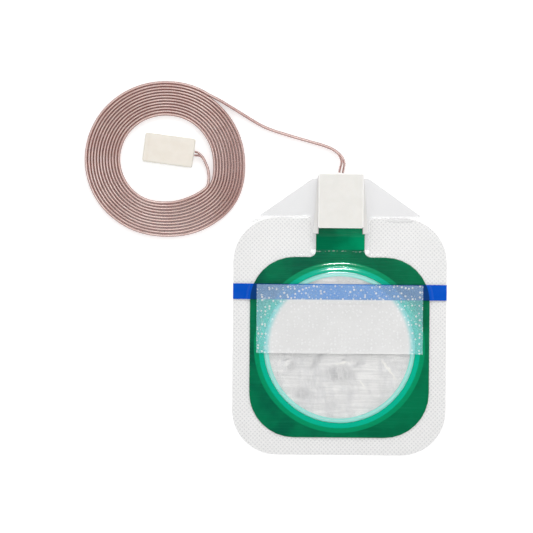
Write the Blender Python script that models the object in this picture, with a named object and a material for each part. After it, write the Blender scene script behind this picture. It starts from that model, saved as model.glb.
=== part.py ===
"""Electrosurgical grounding pad with its cord and plug.

A one-use patient return electrode on its clear release liner, with a clamped
connector at the head, a flat twin cord wound in a coil, and a plug at the far end.

Metres, +Z up. X runs across the pad and Y along it, from the foot to the
connector. The origin lies on the table under the middle of pad and connector.
"""

import math

import bmesh
import bpy
import numpy as np
from mathutils import Matrix, Vector
from mathutils.geometry import delaunay_2d_cdt

for old in list(bpy.data.objects):
    bpy.data.objects.remove(old, do_unlink=True)

# Clearances
SEAT_GAP = 0.0003  # between moulded or crimped pieces that touch
FILM_GAP = 0.0002  # between films laid on each other

# Backing sheet
PAD_WIDTH = 0.1388
PAD_LENGTH = 0.1542
PAD_CORNER = 0.029
BACKING_THICKNESS = 0.0008
NOTCH_ROOM = 0.0014  # beside the clamp, for the liner's fall into the notch
NOTCH_FOOT_MARGIN = 0.0016  # from the plate's head to the notch's foot
NOTCH_CORNER = 0.0030

# Electrode: metal foil, printed green film and gel
PLATE_WIDTH = 0.1166
PLATE_LENGTH = 0.1172
PLATE_CORNER = 0.029
PLATE_MARGIN = 0.0114  # from the backing's foot to the plate's foot
NECK_WIDTH = 0.0316
NECK_LENGTH = 0.0150
NECK_FILLET = 0.0040
FOIL_INSET = 0.0010  # the green film reaches this far past the foil
FOIL_THICKNESS = 0.0002
MASK_THICKNESS = 0.0002
TONGUE_LENGTH = 0.0160
TONGUE_CORNER = 0.0015
GEL_MARGIN = 0.0094  # from the plate's side to the gel's rim
GEL_THICKNESS = 0.0008
WINDOW_CLEARANCE = 0.0003  # between the gel's rim and the green film's window

# Release liner with its formed dome, its tab and its slit
LINER_THICKNESS = 0.0003
DOME_WALL = 0.0036  # widths of the dome's upper and lower slopes
DOME_SKIRT = 0.0029
STEP_START = 0.0002  # the liner begins to fall this far outside the plate
STEP_WIDTH = 0.0013
TAB_INSET = 0.0032  # the tab ends this far in front of the lid's rear
TAB_TOP_WIDTH = 0.0370
TAB_TOP_CORNER = 0.0050
TAB_SLOPE = math.radians(35.4)
TAB_SHOULDER = 0.032
TAB_DROP = 0.0006  # width of the fall from the backing to the table
SLIT_DISTANCE = 0.0046  # from the plate's head to the slit
SLIT_OPENING = 0.0004

# Tapes across the liner
BLUE_WIDTH = 0.0101
BLUE_HEAD = 0.0176  # from the plate's head down to the blue tape's head
BLUE_THICKNESS = 0.0002
FROSTED_WIDTH = 0.1080
FROSTED_LENGTH = 0.0446
FROSTED_HEAD = 0.0181  # from the plate's head down to the frosted tape's head
FROSTED_THICKNESS = 0.0002
TAPE_CELL = 0.0031

# Connector clamp
LID_LENGTH = 0.0355
LID_WIDTH = 0.0294
LID_HEIGHT = 0.0032
LID_TOP_WALL = 0.0015
LID_CORNER = 0.0012
LID_EDGE = 0.0007
SKIRT_INSET = 0.0016
SKIRT_WALL = 0.0012
CHEEK_LEAD = 0.0034  # the cheeks stand this far out in front of the lid
BASE_FRONT_WIDTH = 0.0357
BASE_REAR_WIDTH = 0.0298
BASE_REAR_INSET = 0.0010
BASE_FLOOR = 0.0012
BASE_HEIGHT = 0.0045
BASE_CORNER = 0.0010
CHEEK_FRONT_WALL = 0.00335
CHEEK_REAR_WALL = 0.0020
REAR_WALL = 0.0014
CONTACT_SPACING = 0.0100
CONTACT_WIDTH = 0.0040
CONTACT_THICKNESS = 0.0004
CONTACT_FRONT_GAP = 0.0008
BARREL_RADIUS = 0.0015
BARREL_WALL = 0.0004
BARREL_LENGTH = 0.0050
BARREL_FROM_REAR = 0.0095  # from the lid's rear to the barrels' rear

# Flat twin cord
CORD_WIDTH = 0.0039
CORD_THICKNESS = 0.00186
CORE_RADIUS = 0.0008
CORE_OFFSET = CORD_WIDTH / 4
COIL_CENTRE = Vector((-0.1142, 0.0993, 0))
COIL_FIRST_RADIUS = 0.0285  # middle of the innermost turn
COIL_LAST_RADIUS = 0.0508  # middle of the outermost turn
COIL_SEGMENTS = 72

# Plug
PLUG_CENTRE = Vector((-0.1117, 0.1056, 0))
PLUG_TURN = math.radians(-7.0)
PLUG_LENGTH = 0.0325
PLUG_WIDTH = 0.0186
PLUG_HEIGHT = 0.0070
PLUG_WALL = 0.0013
PLUG_NOSE_WALL = 0.0025
PLUG_CORNER = 0.0012
PLUG_EDGE = 0.0006
NOSE_LINE_PLACE = 0.0026
NOSE_LINE_WIDTH = 0.0004
NOSE_LINE_DEPTH = 0.0002
SOCKET_SPACING = 0.0090
SOCKET_HOLE_RADIUS = 0.0015
SOCKET_RADIUS = 0.0019
SOCKET_BORE = 0.0012
SOCKET_LENGTH = 0.0120
SOCKET_WEB = 0.0015  # solid metal between the pin's bore and the core's bore
SOCKET_BARREL_RADIUS = 0.00145
SOCKET_BARREL_BORE = 0.00108
SOCKET_BARREL_LENGTH = 0.0050

# Fineness of round shapes
ARC_STEP = math.radians(12)
CIRCLE_SEGMENTS = 56
TUBE_SEGMENTS = 16

# Places along the pad, from the foot to the clamp's rear
CLAMP_LENGTH = CHEEK_LEAD + LID_LENGTH
WHOLE_LENGTH = PLATE_MARGIN + PLATE_LENGTH + NECK_LENGTH + SEAT_GAP + CLAMP_LENGTH
PAD_FOOT = -WHOLE_LENGTH / 2
PAD_HEAD = PAD_FOOT + PAD_LENGTH
PLATE_FOOT = PAD_FOOT + PLATE_MARGIN
PLATE_HEAD = PLATE_FOOT + PLATE_LENGTH
PLATE_MIDDLE = (PLATE_FOOT + PLATE_HEAD) / 2
NOTCH_FOOT = PLATE_HEAD + NOTCH_FOOT_MARGIN
SLIT_Y = PLATE_HEAD + SLIT_DISTANCE
NECK_HEAD = PLATE_HEAD + NECK_LENGTH
BASE_FRONT = NECK_HEAD + SEAT_GAP
LID_FRONT = BASE_FRONT + CHEEK_LEAD
LID_REAR = LID_FRONT + LID_LENGTH
BASE_REAR = LID_REAR - BASE_REAR_INSET
TAB_HEAD = LID_REAR - TAB_INSET
SKIRT_FRONT = LID_FRONT + SKIRT_INSET
SKIRT_REAR = BASE_REAR - REAR_WALL - SEAT_GAP
BARREL_REAR = LID_REAR - BARREL_FROM_REAR

# Radii round the plate's middle, and half the notch
GEL_RADIUS = min(PLATE_WIDTH, PLATE_LENGTH) / 2 - GEL_MARGIN
DOME_STEP_RADIUS = GEL_RADIUS + DOME_WALL
DOME_FOOT_RADIUS = DOME_STEP_RADIUS + DOME_SKIRT
NOTCH_HALF = max(BASE_FRONT_WIDTH, NECK_WIDTH) / 2 + NOTCH_ROOM

# Heights of the layers
FOIL_Z = BACKING_THICKNESS + FILM_GAP
MASK_Z = FOIL_Z + FOIL_THICKNESS + FILM_GAP
LINER_MARGIN_Z = BACKING_THICKNESS + FILM_GAP
LINER_PLATE_Z = MASK_Z + MASK_THICKNESS + FILM_GAP
LINER_GEL_Z = MASK_Z + GEL_THICKNESS + FILM_GAP
LINER_STEP_Z = (LINER_PLATE_Z + LINER_GEL_Z) / 2
CLAMP_Z = LINER_THICKNESS + FILM_GAP
TONGUE_Z = CLAMP_Z + BASE_FLOOR + SEAT_GAP
TONGUE_MASK_Z = TONGUE_Z + FOIL_THICKNESS + FILM_GAP
CONTACT_Z = TONGUE_Z + FOIL_THICKNESS + SEAT_GAP
CORE_Z = CONTACT_Z + BARREL_RADIUS
LID_Z = CLAMP_Z + BASE_HEIGHT + SEAT_GAP
SKIRT_Z = TONGUE_MASK_Z + MASK_THICKNESS + SEAT_GAP


# Materials and objects
def new_material(name, colour, roughness, metallic=0.0):
    material = bpy.data.materials.new(name)
    material.use_nodes = True
    shader = material.node_tree.nodes["Principled BSDF"]
    shader.inputs["Base Color"].default_value = (*colour, 1.0)
    shader.inputs["Roughness"].default_value = roughness
    shader.inputs["Metallic"].default_value = metallic
    return material


def add_object(name, data, material, parent=None):
    thing = bpy.data.objects.new(name, data)
    bpy.context.scene.collection.objects.link(thing)
    if material:
        data.materials.append(material)
    thing.parent = parent
    return thing


def add_mesh(name, bm, material, parent=None):
    mesh = bpy.data.meshes.new(name)
    bmesh.ops.recalc_face_normals(bm, faces=bm.faces)
    bm.to_mesh(mesh)
    bm.free()
    mesh.shade_smooth()
    mesh.set_sharp_from_angle(angle=math.radians(30))
    return add_object(name, mesh, material, parent)


# Outlines
def mirrored(half):
    """Corners (x, y, radius) of the right half, and the same ones on the left."""
    return half + [(-x, y, radius) for x, y, radius in reversed(half)]


def rounded(corners):
    """Closed outline with an arc of the given radius at each corner."""
    points = []
    for i, (x, y, radius) in enumerate(corners):
        corner = Vector((x, y))
        before = (Vector(corners[i - 1][:2]) - corner).normalized()
        after = (Vector(corners[(i + 1) % len(corners)][:2]) - corner).normalized()
        turn = math.pi - before.angle(after)
        if radius <= 0 or turn < ARC_STEP / 10:
            points.append(corner)
            continue
        half_opening = (math.pi - turn) / 2
        centre = corner + (before + after).normalized() * radius / math.sin(half_opening)
        start = corner + before * radius / math.tan(half_opening) - centre
        end = corner + after * radius / math.tan(half_opening) - centre
        steps = max(1, math.ceil(turn / ARC_STEP))
        for step in range(steps + 1):
            share = step / steps
            spoke = start * math.sin((1 - share) * turn) + end * math.sin(share * turn)
            points.append(centre + spoke / math.sin(turn))
    return points


def circle(centre, radius, segments=CIRCLE_SEGMENTS):
    angles = (2 * math.pi * i / segments for i in range(segments))
    return [centre + radius * Vector((math.cos(a), math.sin(a))) for a in angles]


def raised(points, height):
    """Points in space, at one height or at height(point)."""
    return [Vector((p.x, p.y, height(p) if callable(height) else height)) for p in points]


def reach_at(outline, y):
    """How far the outline reaches to the right at this Y."""
    reach = 0
    for a, b in zip(outline, outline[1:] + outline[:1]):
        if min(a.y, b.y) <= y <= max(a.y, b.y) and a.y != b.y:
            reach = max(reach, a.x + (b.x - a.x) * (y - a.y) / (b.y - a.y))
    return reach


def contains(loop, x, y):
    """True if the closed loop runs round the place (x, y)."""
    inside = False
    for a, b in zip(loop, loop[1:] + loop[:1]):
        if (a.y > y) != (b.y > y) and x < a.x + (b.x - a.x) * (y - a.y) / (b.y - a.y):
            inside = not inside
    return inside


# Sheets, blocks and tubes
def add_film(name, loops, lines, holes, thickness, material):
    """Thin sheet: its lower face is spanned between closed loops, lines and holes in space."""
    points = []
    edges = []
    for run, closed in [(loop, True) for loop in loops + holes] + [(line, False) for line in lines]:
        first = len(points)
        points += run
        edges += [(first + i, first + i + 1) for i in range(len(run) - 1)]
        if closed:
            edges.append((first + len(run) - 1, first))
    weld = 1e-6
    flat = [p.to_2d() for p in points]
    spots, _, faces, sources, _, _ = delaunay_2d_cdt(flat, edges, [], 1, weld)
    bm = bmesh.new()
    for spot, source in zip(spots, sources):
        known = points[source[0]] if source else min(points, key=lambda p: (p.to_2d() - spot).length)
        bm.verts.new((spot.x, spot.y, known.z))
    bm.verts.ensure_lookup_table()
    for face in faces:
        middle = sum((spots[i] for i in face), Vector((0, 0))) / len(face)
        if not any(contains(hole, middle.x, middle.y) for hole in holes):
            bm.faces.new([bm.verts[i] for i in face])
    loose = [v for v in bm.verts if not v.link_faces]
    bmesh.ops.delete(bm, geom=loose, context="VERTS")
    thicken(bm, thickness)
    return add_mesh(name, bm, material)


def thicken(bm, thickness):
    """Gives an open sheet its upper face and its edge walls."""
    lifted = bmesh.ops.extrude_face_region(bm, geom=bm.faces[:], use_keep_orig=True)
    verts = [part for part in lifted["geom"] if isinstance(part, bmesh.types.BMVert)]
    bmesh.ops.translate(bm, vec=(0, 0, thickness), verts=verts)


def block_mesh(outline, bottom, top, edge=0.0, edge_at="top"):
    """Upright block on an outline, with its upper or lower rim bevelled."""
    bm = bmesh.new()
    bm.faces.new([bm.verts.new((p.x, p.y, bottom)) for p in outline])
    thicken(bm, top - bottom)
    rim_height = top if edge_at == "top" else bottom
    tolerance = 1e-7
    rim = [e for e in bm.edges if all(abs(v.co.z - rim_height) < tolerance for v in e.verts)]
    if edge > 0:
        bmesh.ops.bevel(
            bm, geom=rim, offset=edge, segments=2, profile=0.5, affect="EDGES", material=-1
        )
    return bm


def box_outline(x_low, x_high, y_low, y_high):
    return [Vector(p) for p in ((x_high, y_low), (x_high, y_high), (x_low, y_high), (x_low, y_low))]


def shape_by(target, name, bm, operation):
    """Cuts a hidden shape out of the target, or joins it on."""
    tool = add_mesh(name, bm, None, target.parent)
    tool.hide_render = True
    tool.display_type = "WIRE"
    modifier = target.modifiers.new(name, "BOOLEAN")
    modifier.operation = operation
    modifier.object = tool
    modifier.solver = "EXACT"


def turned_mesh(profile, segments, frame):
    """Spins a profile of (radius, place along the axis) and sets it along the frame's Z."""
    bm = bmesh.new()
    verts = [bm.verts.new((radius, 0, place)) for radius, place in profile]
    edges = [bm.edges.new(pair) for pair in zip(verts, verts[1:])]
    if profile[0][0] > 0:
        edges.append(bm.edges.new((verts[-1], verts[0])))
    bmesh.ops.spin(
        bm, geom=verts + edges, cent=(0, 0, 0), axis=(0, 0, 1), angle=2 * math.pi,
        steps=segments, use_merge=True,
    )
    bmesh.ops.remove_doubles(bm, verts=bm.verts, dist=1e-7)
    bmesh.ops.transform(bm, matrix=frame, verts=bm.verts)
    return bm


def smooth_route(route, spacing):
    """Evenly spaced points on a smooth curve through the route's points."""
    ends = [2 * route[0] - route[1]] + route + [2 * route[-1] - route[-2]]
    fine = [route[0]]
    steps = 12
    for a, b, c, d in zip(ends, ends[1:], ends[2:], ends[3:]):
        for step in range(1, steps + 1):
            t = step / steps
            fine.append(
                0.5 * ((2 * b) + (c - a) * t + (2 * a - 5 * b + 4 * c - d) * t**2
                       + (3 * b - a - 3 * c + d) * t**3)
            )
    length = sum((b - a).length for a, b in zip(fine, fine[1:]))
    count = max(2, round(length / spacing))
    points = [fine[0]]
    travelled = 0
    for a, b in zip(fine, fine[1:]):
        step_length = (b - a).length
        while len(points) < count and travelled + step_length >= length * len(points) / count:
            points.append(a.lerp(b, (length * len(points) / count - travelled) / step_length))
        travelled += step_length
    return points + [fine[-1]]


def add_tube(name, route, radius, spacing, material, parent=None):
    curve = bpy.data.curves.new(name, "CURVE")
    curve.dimensions = "3D"
    curve.bevel_depth = radius
    curve.bevel_resolution = 2
    curve.use_fill_caps = True
    points = smooth_route([Vector(p) for p in route], spacing)
    spline = curve.splines.new("POLY")
    spline.points.add(len(points) - 1)
    for spot, point in zip(spline.points, points):
        spot.co = (*point, 1.0)
    return add_object(name, curve, material, parent)


# Shared shapes of the pad
def cheek_inner_half(y):
    """Half the room between the clamp's cheeks at this Y."""
    front = BASE_FRONT_WIDTH / 2 - CHEEK_FRONT_WALL
    rear = BASE_REAR_WIDTH / 2 - CHEEK_REAR_WALL
    return np.interp(y, (BASE_FRONT, BASE_REAR), (front, rear))


def plate_corners(grow, head_corners):
    """Plate and neck, grown by a margin, with the given corners at the neck's head."""
    side = PLATE_WIDTH / 2 + grow
    foot = PLATE_FOOT - grow
    head = PLATE_HEAD + grow
    neck = NECK_WIDTH / 2 + grow
    radius = PLATE_CORNER + grow
    return [(side, foot, radius), (side, head, radius), (neck, head, NECK_FILLET - grow), *head_corners]


def electrode_outline(inset, tongue_tip):
    """Plate, neck and the tongue that lies between the clamp's cheeks."""
    tongue_front = cheek_inner_half(NECK_HEAD) - SEAT_GAP - inset
    tongue_rear = cheek_inner_half(tongue_tip) - SEAT_GAP - inset
    head = [
        (NECK_WIDTH / 2 - inset, NECK_HEAD - inset, 0),
        (tongue_front, NECK_HEAD - inset, 0),
        (tongue_rear, tongue_tip, TONGUE_CORNER),
    ]
    return rounded(mirrored(plate_corners(-inset, head)))


RAMP_FOOT = SLIT_Y + SLIT_OPENING
RAMP_HEAD = NECK_HEAD - 2 * FOIL_INSET


def ramp_lines(inset, height):
    """Lines across the neck where it begins and ends its rise to the clamp's floor."""
    half = NECK_WIDTH / 2 - inset
    return [
        raised([Vector((half, y)), Vector((-half, y))], height) for y in (RAMP_FOOT, RAMP_HEAD)
    ]


# Backing sheet: white nonwoven with a notch for the neck
def make_backing():
    side = PAD_WIDTH / 2
    outline = rounded(mirrored([
        (side, PAD_FOOT, PAD_CORNER),
        (side, PAD_HEAD, PAD_CORNER),
        (NOTCH_HALF, PAD_HEAD, NOTCH_CORNER),
        (NOTCH_HALF, NOTCH_FOOT, NOTCH_CORNER),
    ]))
    material = new_material("nonwoven", (0.93, 0.93, 0.93), 0.9)
    add_film("backing_sheet", [raised(outline, 0)], [], [], BACKING_THICKNESS, material)


# Foil plate: bare aluminium foil with a neck and a tongue
def foil_height(point):
    return np.interp(point.y, (RAMP_FOOT, RAMP_HEAD), (FOIL_Z, TONGUE_Z))


def make_foil():
    outline = electrode_outline(FOIL_INSET, BASE_FRONT + TONGUE_LENGTH)
    add_film(
        "foil_plate", [raised(outline, foil_height)], ramp_lines(FOIL_INSET, foil_height), [],
        FOIL_THICKNESS, new_material("foil", (0.78, 0.79, 0.80), 0.35, 1.0),
    )


# Green mask: printed film with a round window, over the foil
def mask_height(point):
    return np.interp(point.y, (RAMP_FOOT, RAMP_HEAD), (MASK_Z, TONGUE_MASK_Z))


def make_mask():
    outline = electrode_outline(0, SKIRT_FRONT + SKIRT_WALL)
    window = circle(Vector((0, PLATE_MIDDLE)), GEL_RADIUS + WINDOW_CLEARANCE)
    add_film(
        "green_mask", [raised(outline, mask_height)], ramp_lines(0, mask_height),
        [raised(window, MASK_Z)], MASK_THICKNESS, new_material("green_film", (0.0, 0.33, 0.20), 0.4),
    )


# Gel disc: conductive gel in the window
def make_gel():
    outline = circle(Vector((0, PLATE_MIDDLE)), GEL_RADIUS)
    material = new_material("gel", (0.75, 0.78, 0.78), 0.25)
    bm = block_mesh(outline, MASK_Z, MASK_Z + GEL_THICKNESS, GEL_THICKNESS / 4)
    add_mesh("gel_disc", bm, material)


# Release liner: clear formed film, domed over the gel, with a tab under the clamp
def liner_outline():
    side = PAD_WIDTH / 2
    tab_half = TAB_TOP_WIDTH / 2
    shoulder = TAB_HEAD - (side - tab_half) * math.tan(TAB_SLOPE)
    return rounded(mirrored([
        (side, PAD_FOOT, PAD_CORNER),
        (side, shoulder, TAB_SHOULDER),
        (tab_half, TAB_HEAD, TAB_TOP_CORNER),
    ]))


def make_liner():
    fall = PAD_HEAD + FILM_GAP
    outline = liner_outline()
    slit_low = SLIT_Y - SLIT_OPENING / 2
    slit_high = SLIT_Y + SLIT_OPENING / 2
    step_end = STEP_START + STEP_WIDTH

    def rim_height(point):
        return np.interp(point.y, (fall, fall + TAB_DROP), (LINER_MARGIN_Z, 0))

    loops = [raised(outline, rim_height)]
    for grow, height in ((step_end, LINER_MARGIN_Z), (STEP_START, LINER_PLATE_Z)):
        corners = plate_corners(grow, [(NECK_WIDTH / 2 + grow, slit_low, 0)])
        loops.append(raised(rounded(mirrored(corners)), height))
    centre = Vector((0, PLATE_MIDDLE))
    for radius, height in (
        (DOME_FOOT_RADIUS, LINER_PLATE_Z), (DOME_STEP_RADIUS, LINER_STEP_Z), (GEL_RADIUS, LINER_GEL_Z),
    ):
        loops.append(raised(circle(centre, radius), height))

    notch_edge = NOTCH_HALF - FILM_GAP
    lines = []
    for way in (1, -1):
        lines.append([
            Vector((way * reach_at(outline, fall), fall, LINER_MARGIN_Z)),
            Vector((way * notch_edge, fall, LINER_MARGIN_Z)),
            Vector((way * notch_edge, SLIT_Y, LINER_MARGIN_Z)),
        ])
        lines.append([
            Vector((way * reach_at(outline, fall + TAB_DROP), fall + TAB_DROP, 0)),
            Vector((way * (notch_edge - TAB_DROP), fall + TAB_DROP, 0)),
            Vector((way * (notch_edge - TAB_DROP), slit_high, 0)),
        ])

    half_slit = [
        Vector((NECK_WIDTH / 2 + STEP_START, slit_low, LINER_PLATE_Z)),
        Vector((NECK_WIDTH / 2 + step_end, slit_low, LINER_MARGIN_Z)),
        Vector((notch_edge, SLIT_Y, LINER_MARGIN_Z)),
        Vector((notch_edge - TAB_DROP, slit_high, 0)),
    ]
    slit = half_slit + [Vector((-p.x, p.y, p.z)) for p in reversed(half_slit)]
    material = new_material("clear_film", (0.88, 0.90, 0.91), 0.15)
    add_film("release_liner", loops, lines, [slit], LINER_THICKNESS, material)


# Tapes: they lie on the liner and bridge its steps
def liner_top(x, y, slack):
    """Height of the liner's upper face, with its steps moved outwards by the slack."""
    beyond_x = max(abs(x) - (PLATE_WIDTH / 2 - PLATE_CORNER), 0)
    beyond_y = max(abs(y - PLATE_MIDDLE) - (PLATE_LENGTH / 2 - PLATE_CORNER), 0)
    off_plate = math.hypot(beyond_x, beyond_y) - PLATE_CORNER - slack
    from_centre = math.hypot(x, y - PLATE_MIDDLE) - slack
    plate = np.interp(
        off_plate, (STEP_START, STEP_START + STEP_WIDTH), (LINER_PLATE_Z, LINER_MARGIN_Z)
    )
    dome = np.interp(
        from_centre,
        (GEL_RADIUS, DOME_STEP_RADIUS, DOME_FOOT_RADIUS, DOME_FOOT_RADIUS + STEP_START),
        (LINER_GEL_Z, LINER_STEP_Z, LINER_PLATE_Z, LINER_MARGIN_Z),
    )
    return max(plate, dome) + LINER_THICKNESS


def add_tape(name, width, y_low, y_high, height, thickness, material):
    columns = math.ceil(width / TAPE_CELL)
    rows = math.ceil((y_high - y_low) / TAPE_CELL)
    bm = bmesh.new()
    bmesh.ops.create_grid(bm, x_segments=columns, y_segments=rows, size=0.5)
    size = Vector((width, y_high - y_low, 1))
    bmesh.ops.scale(bm, vec=size, verts=bm.verts)
    bmesh.ops.translate(bm, vec=(0, (y_low + y_high) / 2, 0), verts=bm.verts)
    slack = math.hypot(width / columns, (y_high - y_low) / rows)
    for v in bm.verts:
        v.co.z = height(v.co.x, v.co.y, slack)
    thicken(bm, thickness)
    return add_mesh(name, bm, material)


def blue_height(x, y, slack):
    return liner_top(x, y, slack) + FILM_GAP


def frosted_height(x, y, slack):
    blue_foot = PLATE_HEAD - BLUE_HEAD - BLUE_WIDTH
    over_blue = BLUE_THICKNESS + FILM_GAP if y > blue_foot - slack else 0
    blue_slack = math.hypot(TAPE_CELL, TAPE_CELL)
    return liner_top(x, y, slack + blue_slack) + FILM_GAP + over_blue


def make_tapes():
    blue = new_material("blue_tape", (0.0, 0.08, 0.62), 0.45)
    blue_head = PLATE_HEAD - BLUE_HEAD
    add_tape(
        "blue_strip", PAD_WIDTH, blue_head - BLUE_WIDTH, blue_head, blue_height, BLUE_THICKNESS, blue
    )
    frosted = new_material("frosted_tape", (0.85, 0.87, 0.88), 0.55)
    frosted_head = PLATE_HEAD - FROSTED_HEAD
    add_tape(
        "frosted_strip", FROSTED_WIDTH, frosted_head - FROSTED_LENGTH, frosted_head,
        frosted_height, FROSTED_THICKNESS, frosted,
    )


# Clamp base: moulded floor with two cheeks and a rear wall
ABOVE = 0.010  # how far cutters reach past the pieces


def make_clamp_base(material):
    outline = rounded(mirrored([
        (BASE_FRONT_WIDTH / 2, BASE_FRONT, BASE_CORNER),
        (BASE_REAR_WIDTH / 2, BASE_REAR, BASE_CORNER),
    ]))
    top = CLAMP_Z + BASE_HEIGHT
    base = add_mesh("clamp_base", block_mesh(outline, CLAMP_Z, top), material)
    wall_y = BASE_REAR - REAR_WALL
    room = [
        Vector((cheek_inner_half(BASE_FRONT), BASE_FRONT - ABOVE)),
        Vector((cheek_inner_half(BASE_FRONT), BASE_FRONT)),
        Vector((cheek_inner_half(wall_y), wall_y)),
    ]
    room += [Vector((-p.x, p.y)) for p in reversed(room)]
    floor = CLAMP_Z + BASE_FLOOR
    shape_by(base, "base_room", block_mesh(room, floor, top + ABOVE), "DIFFERENCE")
    half = CORD_WIDTH / 2 + SEAT_GAP
    slot = box_outline(-half, half, wall_y - SEAT_GAP, BASE_REAR + ABOVE)
    slot_floor = CORE_Z - CORD_THICKNESS / 2 - SEAT_GAP
    shape_by(base, "base_slot", block_mesh(slot, slot_floor, top + ABOVE), "DIFFERENCE")


# Clamp lid: moulded cover whose skirt presses the tongue down
def make_clamp_lid(material):
    half = LID_WIDTH / 2
    outline = rounded(mirrored([(half, LID_FRONT, LID_CORNER), (half, LID_REAR, LID_CORNER)]))
    lid = add_mesh("clamp_lid", block_mesh(outline, LID_Z, LID_Z + LID_HEIGHT, LID_EDGE), material)
    skirt_half = cheek_inner_half(BASE_REAR) - SEAT_GAP
    skirt = box_outline(-skirt_half, skirt_half, SKIRT_FRONT, SKIRT_REAR)
    root = LID_Z + LID_TOP_WALL / 2
    shape_by(lid, "lid_skirt", block_mesh(skirt, SKIRT_Z, root), "UNION")
    room_half = skirt_half - SKIRT_WALL
    room = box_outline(-room_half, room_half, SKIRT_FRONT + SKIRT_WALL, SKIRT_REAR - SKIRT_WALL)
    ceiling = LID_Z + LID_HEIGHT - LID_TOP_WALL
    shape_by(lid, "lid_room", block_mesh(room, SKIRT_Z - ABOVE, ceiling), "DIFFERENCE")
    slot_half = CORD_WIDTH / 2 + SEAT_GAP
    slot = box_outline(-slot_half, slot_half, SKIRT_REAR - 2 * SKIRT_WALL, SKIRT_REAR + SEAT_GAP)
    slot_top = CORE_Z + CORD_THICKNESS / 2 + SEAT_GAP
    shape_by(lid, "lid_slot", block_mesh(slot, SKIRT_Z - ABOVE, slot_top), "DIFFERENCE")


# Clamp contacts: stamped strips on the foil, each with a crimp barrel for one core
def make_contact(side, way, material):
    x = way * CONTACT_SPACING / 2
    bore = BARREL_RADIUS - BARREL_WALL
    profile = [
        (bore, 0), (BARREL_RADIUS, 0), (BARREL_RADIUS, BARREL_LENGTH), (bore, BARREL_LENGTH),
    ]
    along_y = Matrix.Rotation(math.radians(-90), 4, "X")
    place = Matrix.Translation((x, BARREL_REAR - BARREL_LENGTH, CORE_Z))
    barrel = turned_mesh(profile, TUBE_SEGMENTS, place @ along_y)
    contact = add_mesh("clamp_contact_" + side, barrel, material)
    half = CONTACT_WIDTH / 2
    front = SKIRT_FRONT + SKIRT_WALL + CONTACT_FRONT_GAP
    strip = box_outline(x - half, x + half, front, BARREL_REAR - BARREL_LENGTH / 2)
    strip_mesh = block_mesh(strip, CONTACT_Z, CONTACT_Z + CONTACT_THICKNESS)
    shape_by(contact, "contact_strip_" + side, strip_mesh, "UNION")


# Cores: the cord's two insulated conductors, from its end to their crimp barrels
CORE_BENDS = ((0.2, 0.10), (0.5, 0.50), (0.8, 0.92))  # shares of the way and of the spread
CORE_IN_BARREL = 0.6  # share of the barrel that the core reaches into


def core_route(entry, wall, barrel, barrel_length, spread):
    """Places (along, across) of a core: along runs out of the shell, across away from its axis."""
    route = [(entry, CORE_OFFSET), (wall, CORE_OFFSET)]
    for way_share, spread_share in CORE_BENDS:
        along = wall + way_share * (barrel - wall)
        route.append((along, CORE_OFFSET + spread_share * (spread - CORE_OFFSET)))
    return route + [(barrel, spread), (barrel - CORE_IN_BARREL * barrel_length, spread)]


def make_clamp_core(side, way, material):
    wall = BASE_REAR - REAR_WALL
    route = core_route(LID_REAR, wall, BARREL_REAR, BARREL_LENGTH, CONTACT_SPACING / 2)
    points = [(way * across, along, CORE_Z) for along, across in route]
    add_tube("clamp_core_" + side, points, CORE_RADIUS, CORE_RADIUS, material)


# Cord: lead from the clamp, coil, and tail to the plug
LYING = CORD_WIDTH / 2  # height of the cord's middle where it lies on the table
LEAD_ROUTE = [
    (-0.0735, 0.1350, LYING),
    (-0.0698, 0.1328, LYING),
    (-0.0639, 0.1292, LYING),
    (-0.0580, 0.1256, LYING),
    (-0.0526, 0.1225, LYING),
    (-0.0478, 0.1203, LYING),
    (-0.0430, 0.1186, LYING),
    (-0.0380, 0.1171, LYING),
    (-0.0330, 0.1156, LYING),
    (-0.0278, 0.1141, LYING),
    (-0.0224, 0.1126, LYING),
    (-0.0176, 0.1113, LYING),
    (-0.0132, 0.1101, 0.00205),
    (-0.0091, 0.1087, 0.0022),
    (-0.0058, 0.1073, 0.0025),
    (-0.0028, 0.1053, 0.0028),
    (-0.0004, 0.1027, 0.0032),
    (0.0010, 0.0998, 0.0035),
    (0.0011, 0.0970, 0.0038),
    (0.0004, 0.0943, 0.0040),
    (0.0000, 0.0917, 0.0040),
]
TAIL_ROUTE = [
    (-0.0953, 0.1036, 0.0035),
    (-0.0938, 0.1034, 0.0034),
    (-0.0923, 0.1030, 0.0031),
    (-0.0909, 0.1022, 0.0027),
    (-0.0899, 0.1012, 0.0024),
    (-0.0892, 0.1002, 0.0022),
]


def make_cord():
    material = new_material("cord_jacket", (0.80, 0.55, 0.48), 0.3)
    spacing = 2 * CORD_WIDTH
    add_tube("cord_lead", LEAD_ROUTE, CORD_WIDTH / 2, spacing, material)
    add_tube("cord_tail", TAIL_ROUTE, CORD_WIDTH / 2, CORD_WIDTH / 2, material)
    inner = COIL_FIRST_RADIUS - CORD_THICKNESS / 2
    outer = COIL_LAST_RADIUS + CORD_THICKNESS / 2
    profile = [(inner, 0), (outer, 0), (outer, CORD_WIDTH), (inner, CORD_WIDTH)]
    ring = turned_mesh(profile, COIL_SEGMENTS, Matrix.Translation(COIL_CENTRE))
    add_mesh("cord_coil", ring, material)


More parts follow.
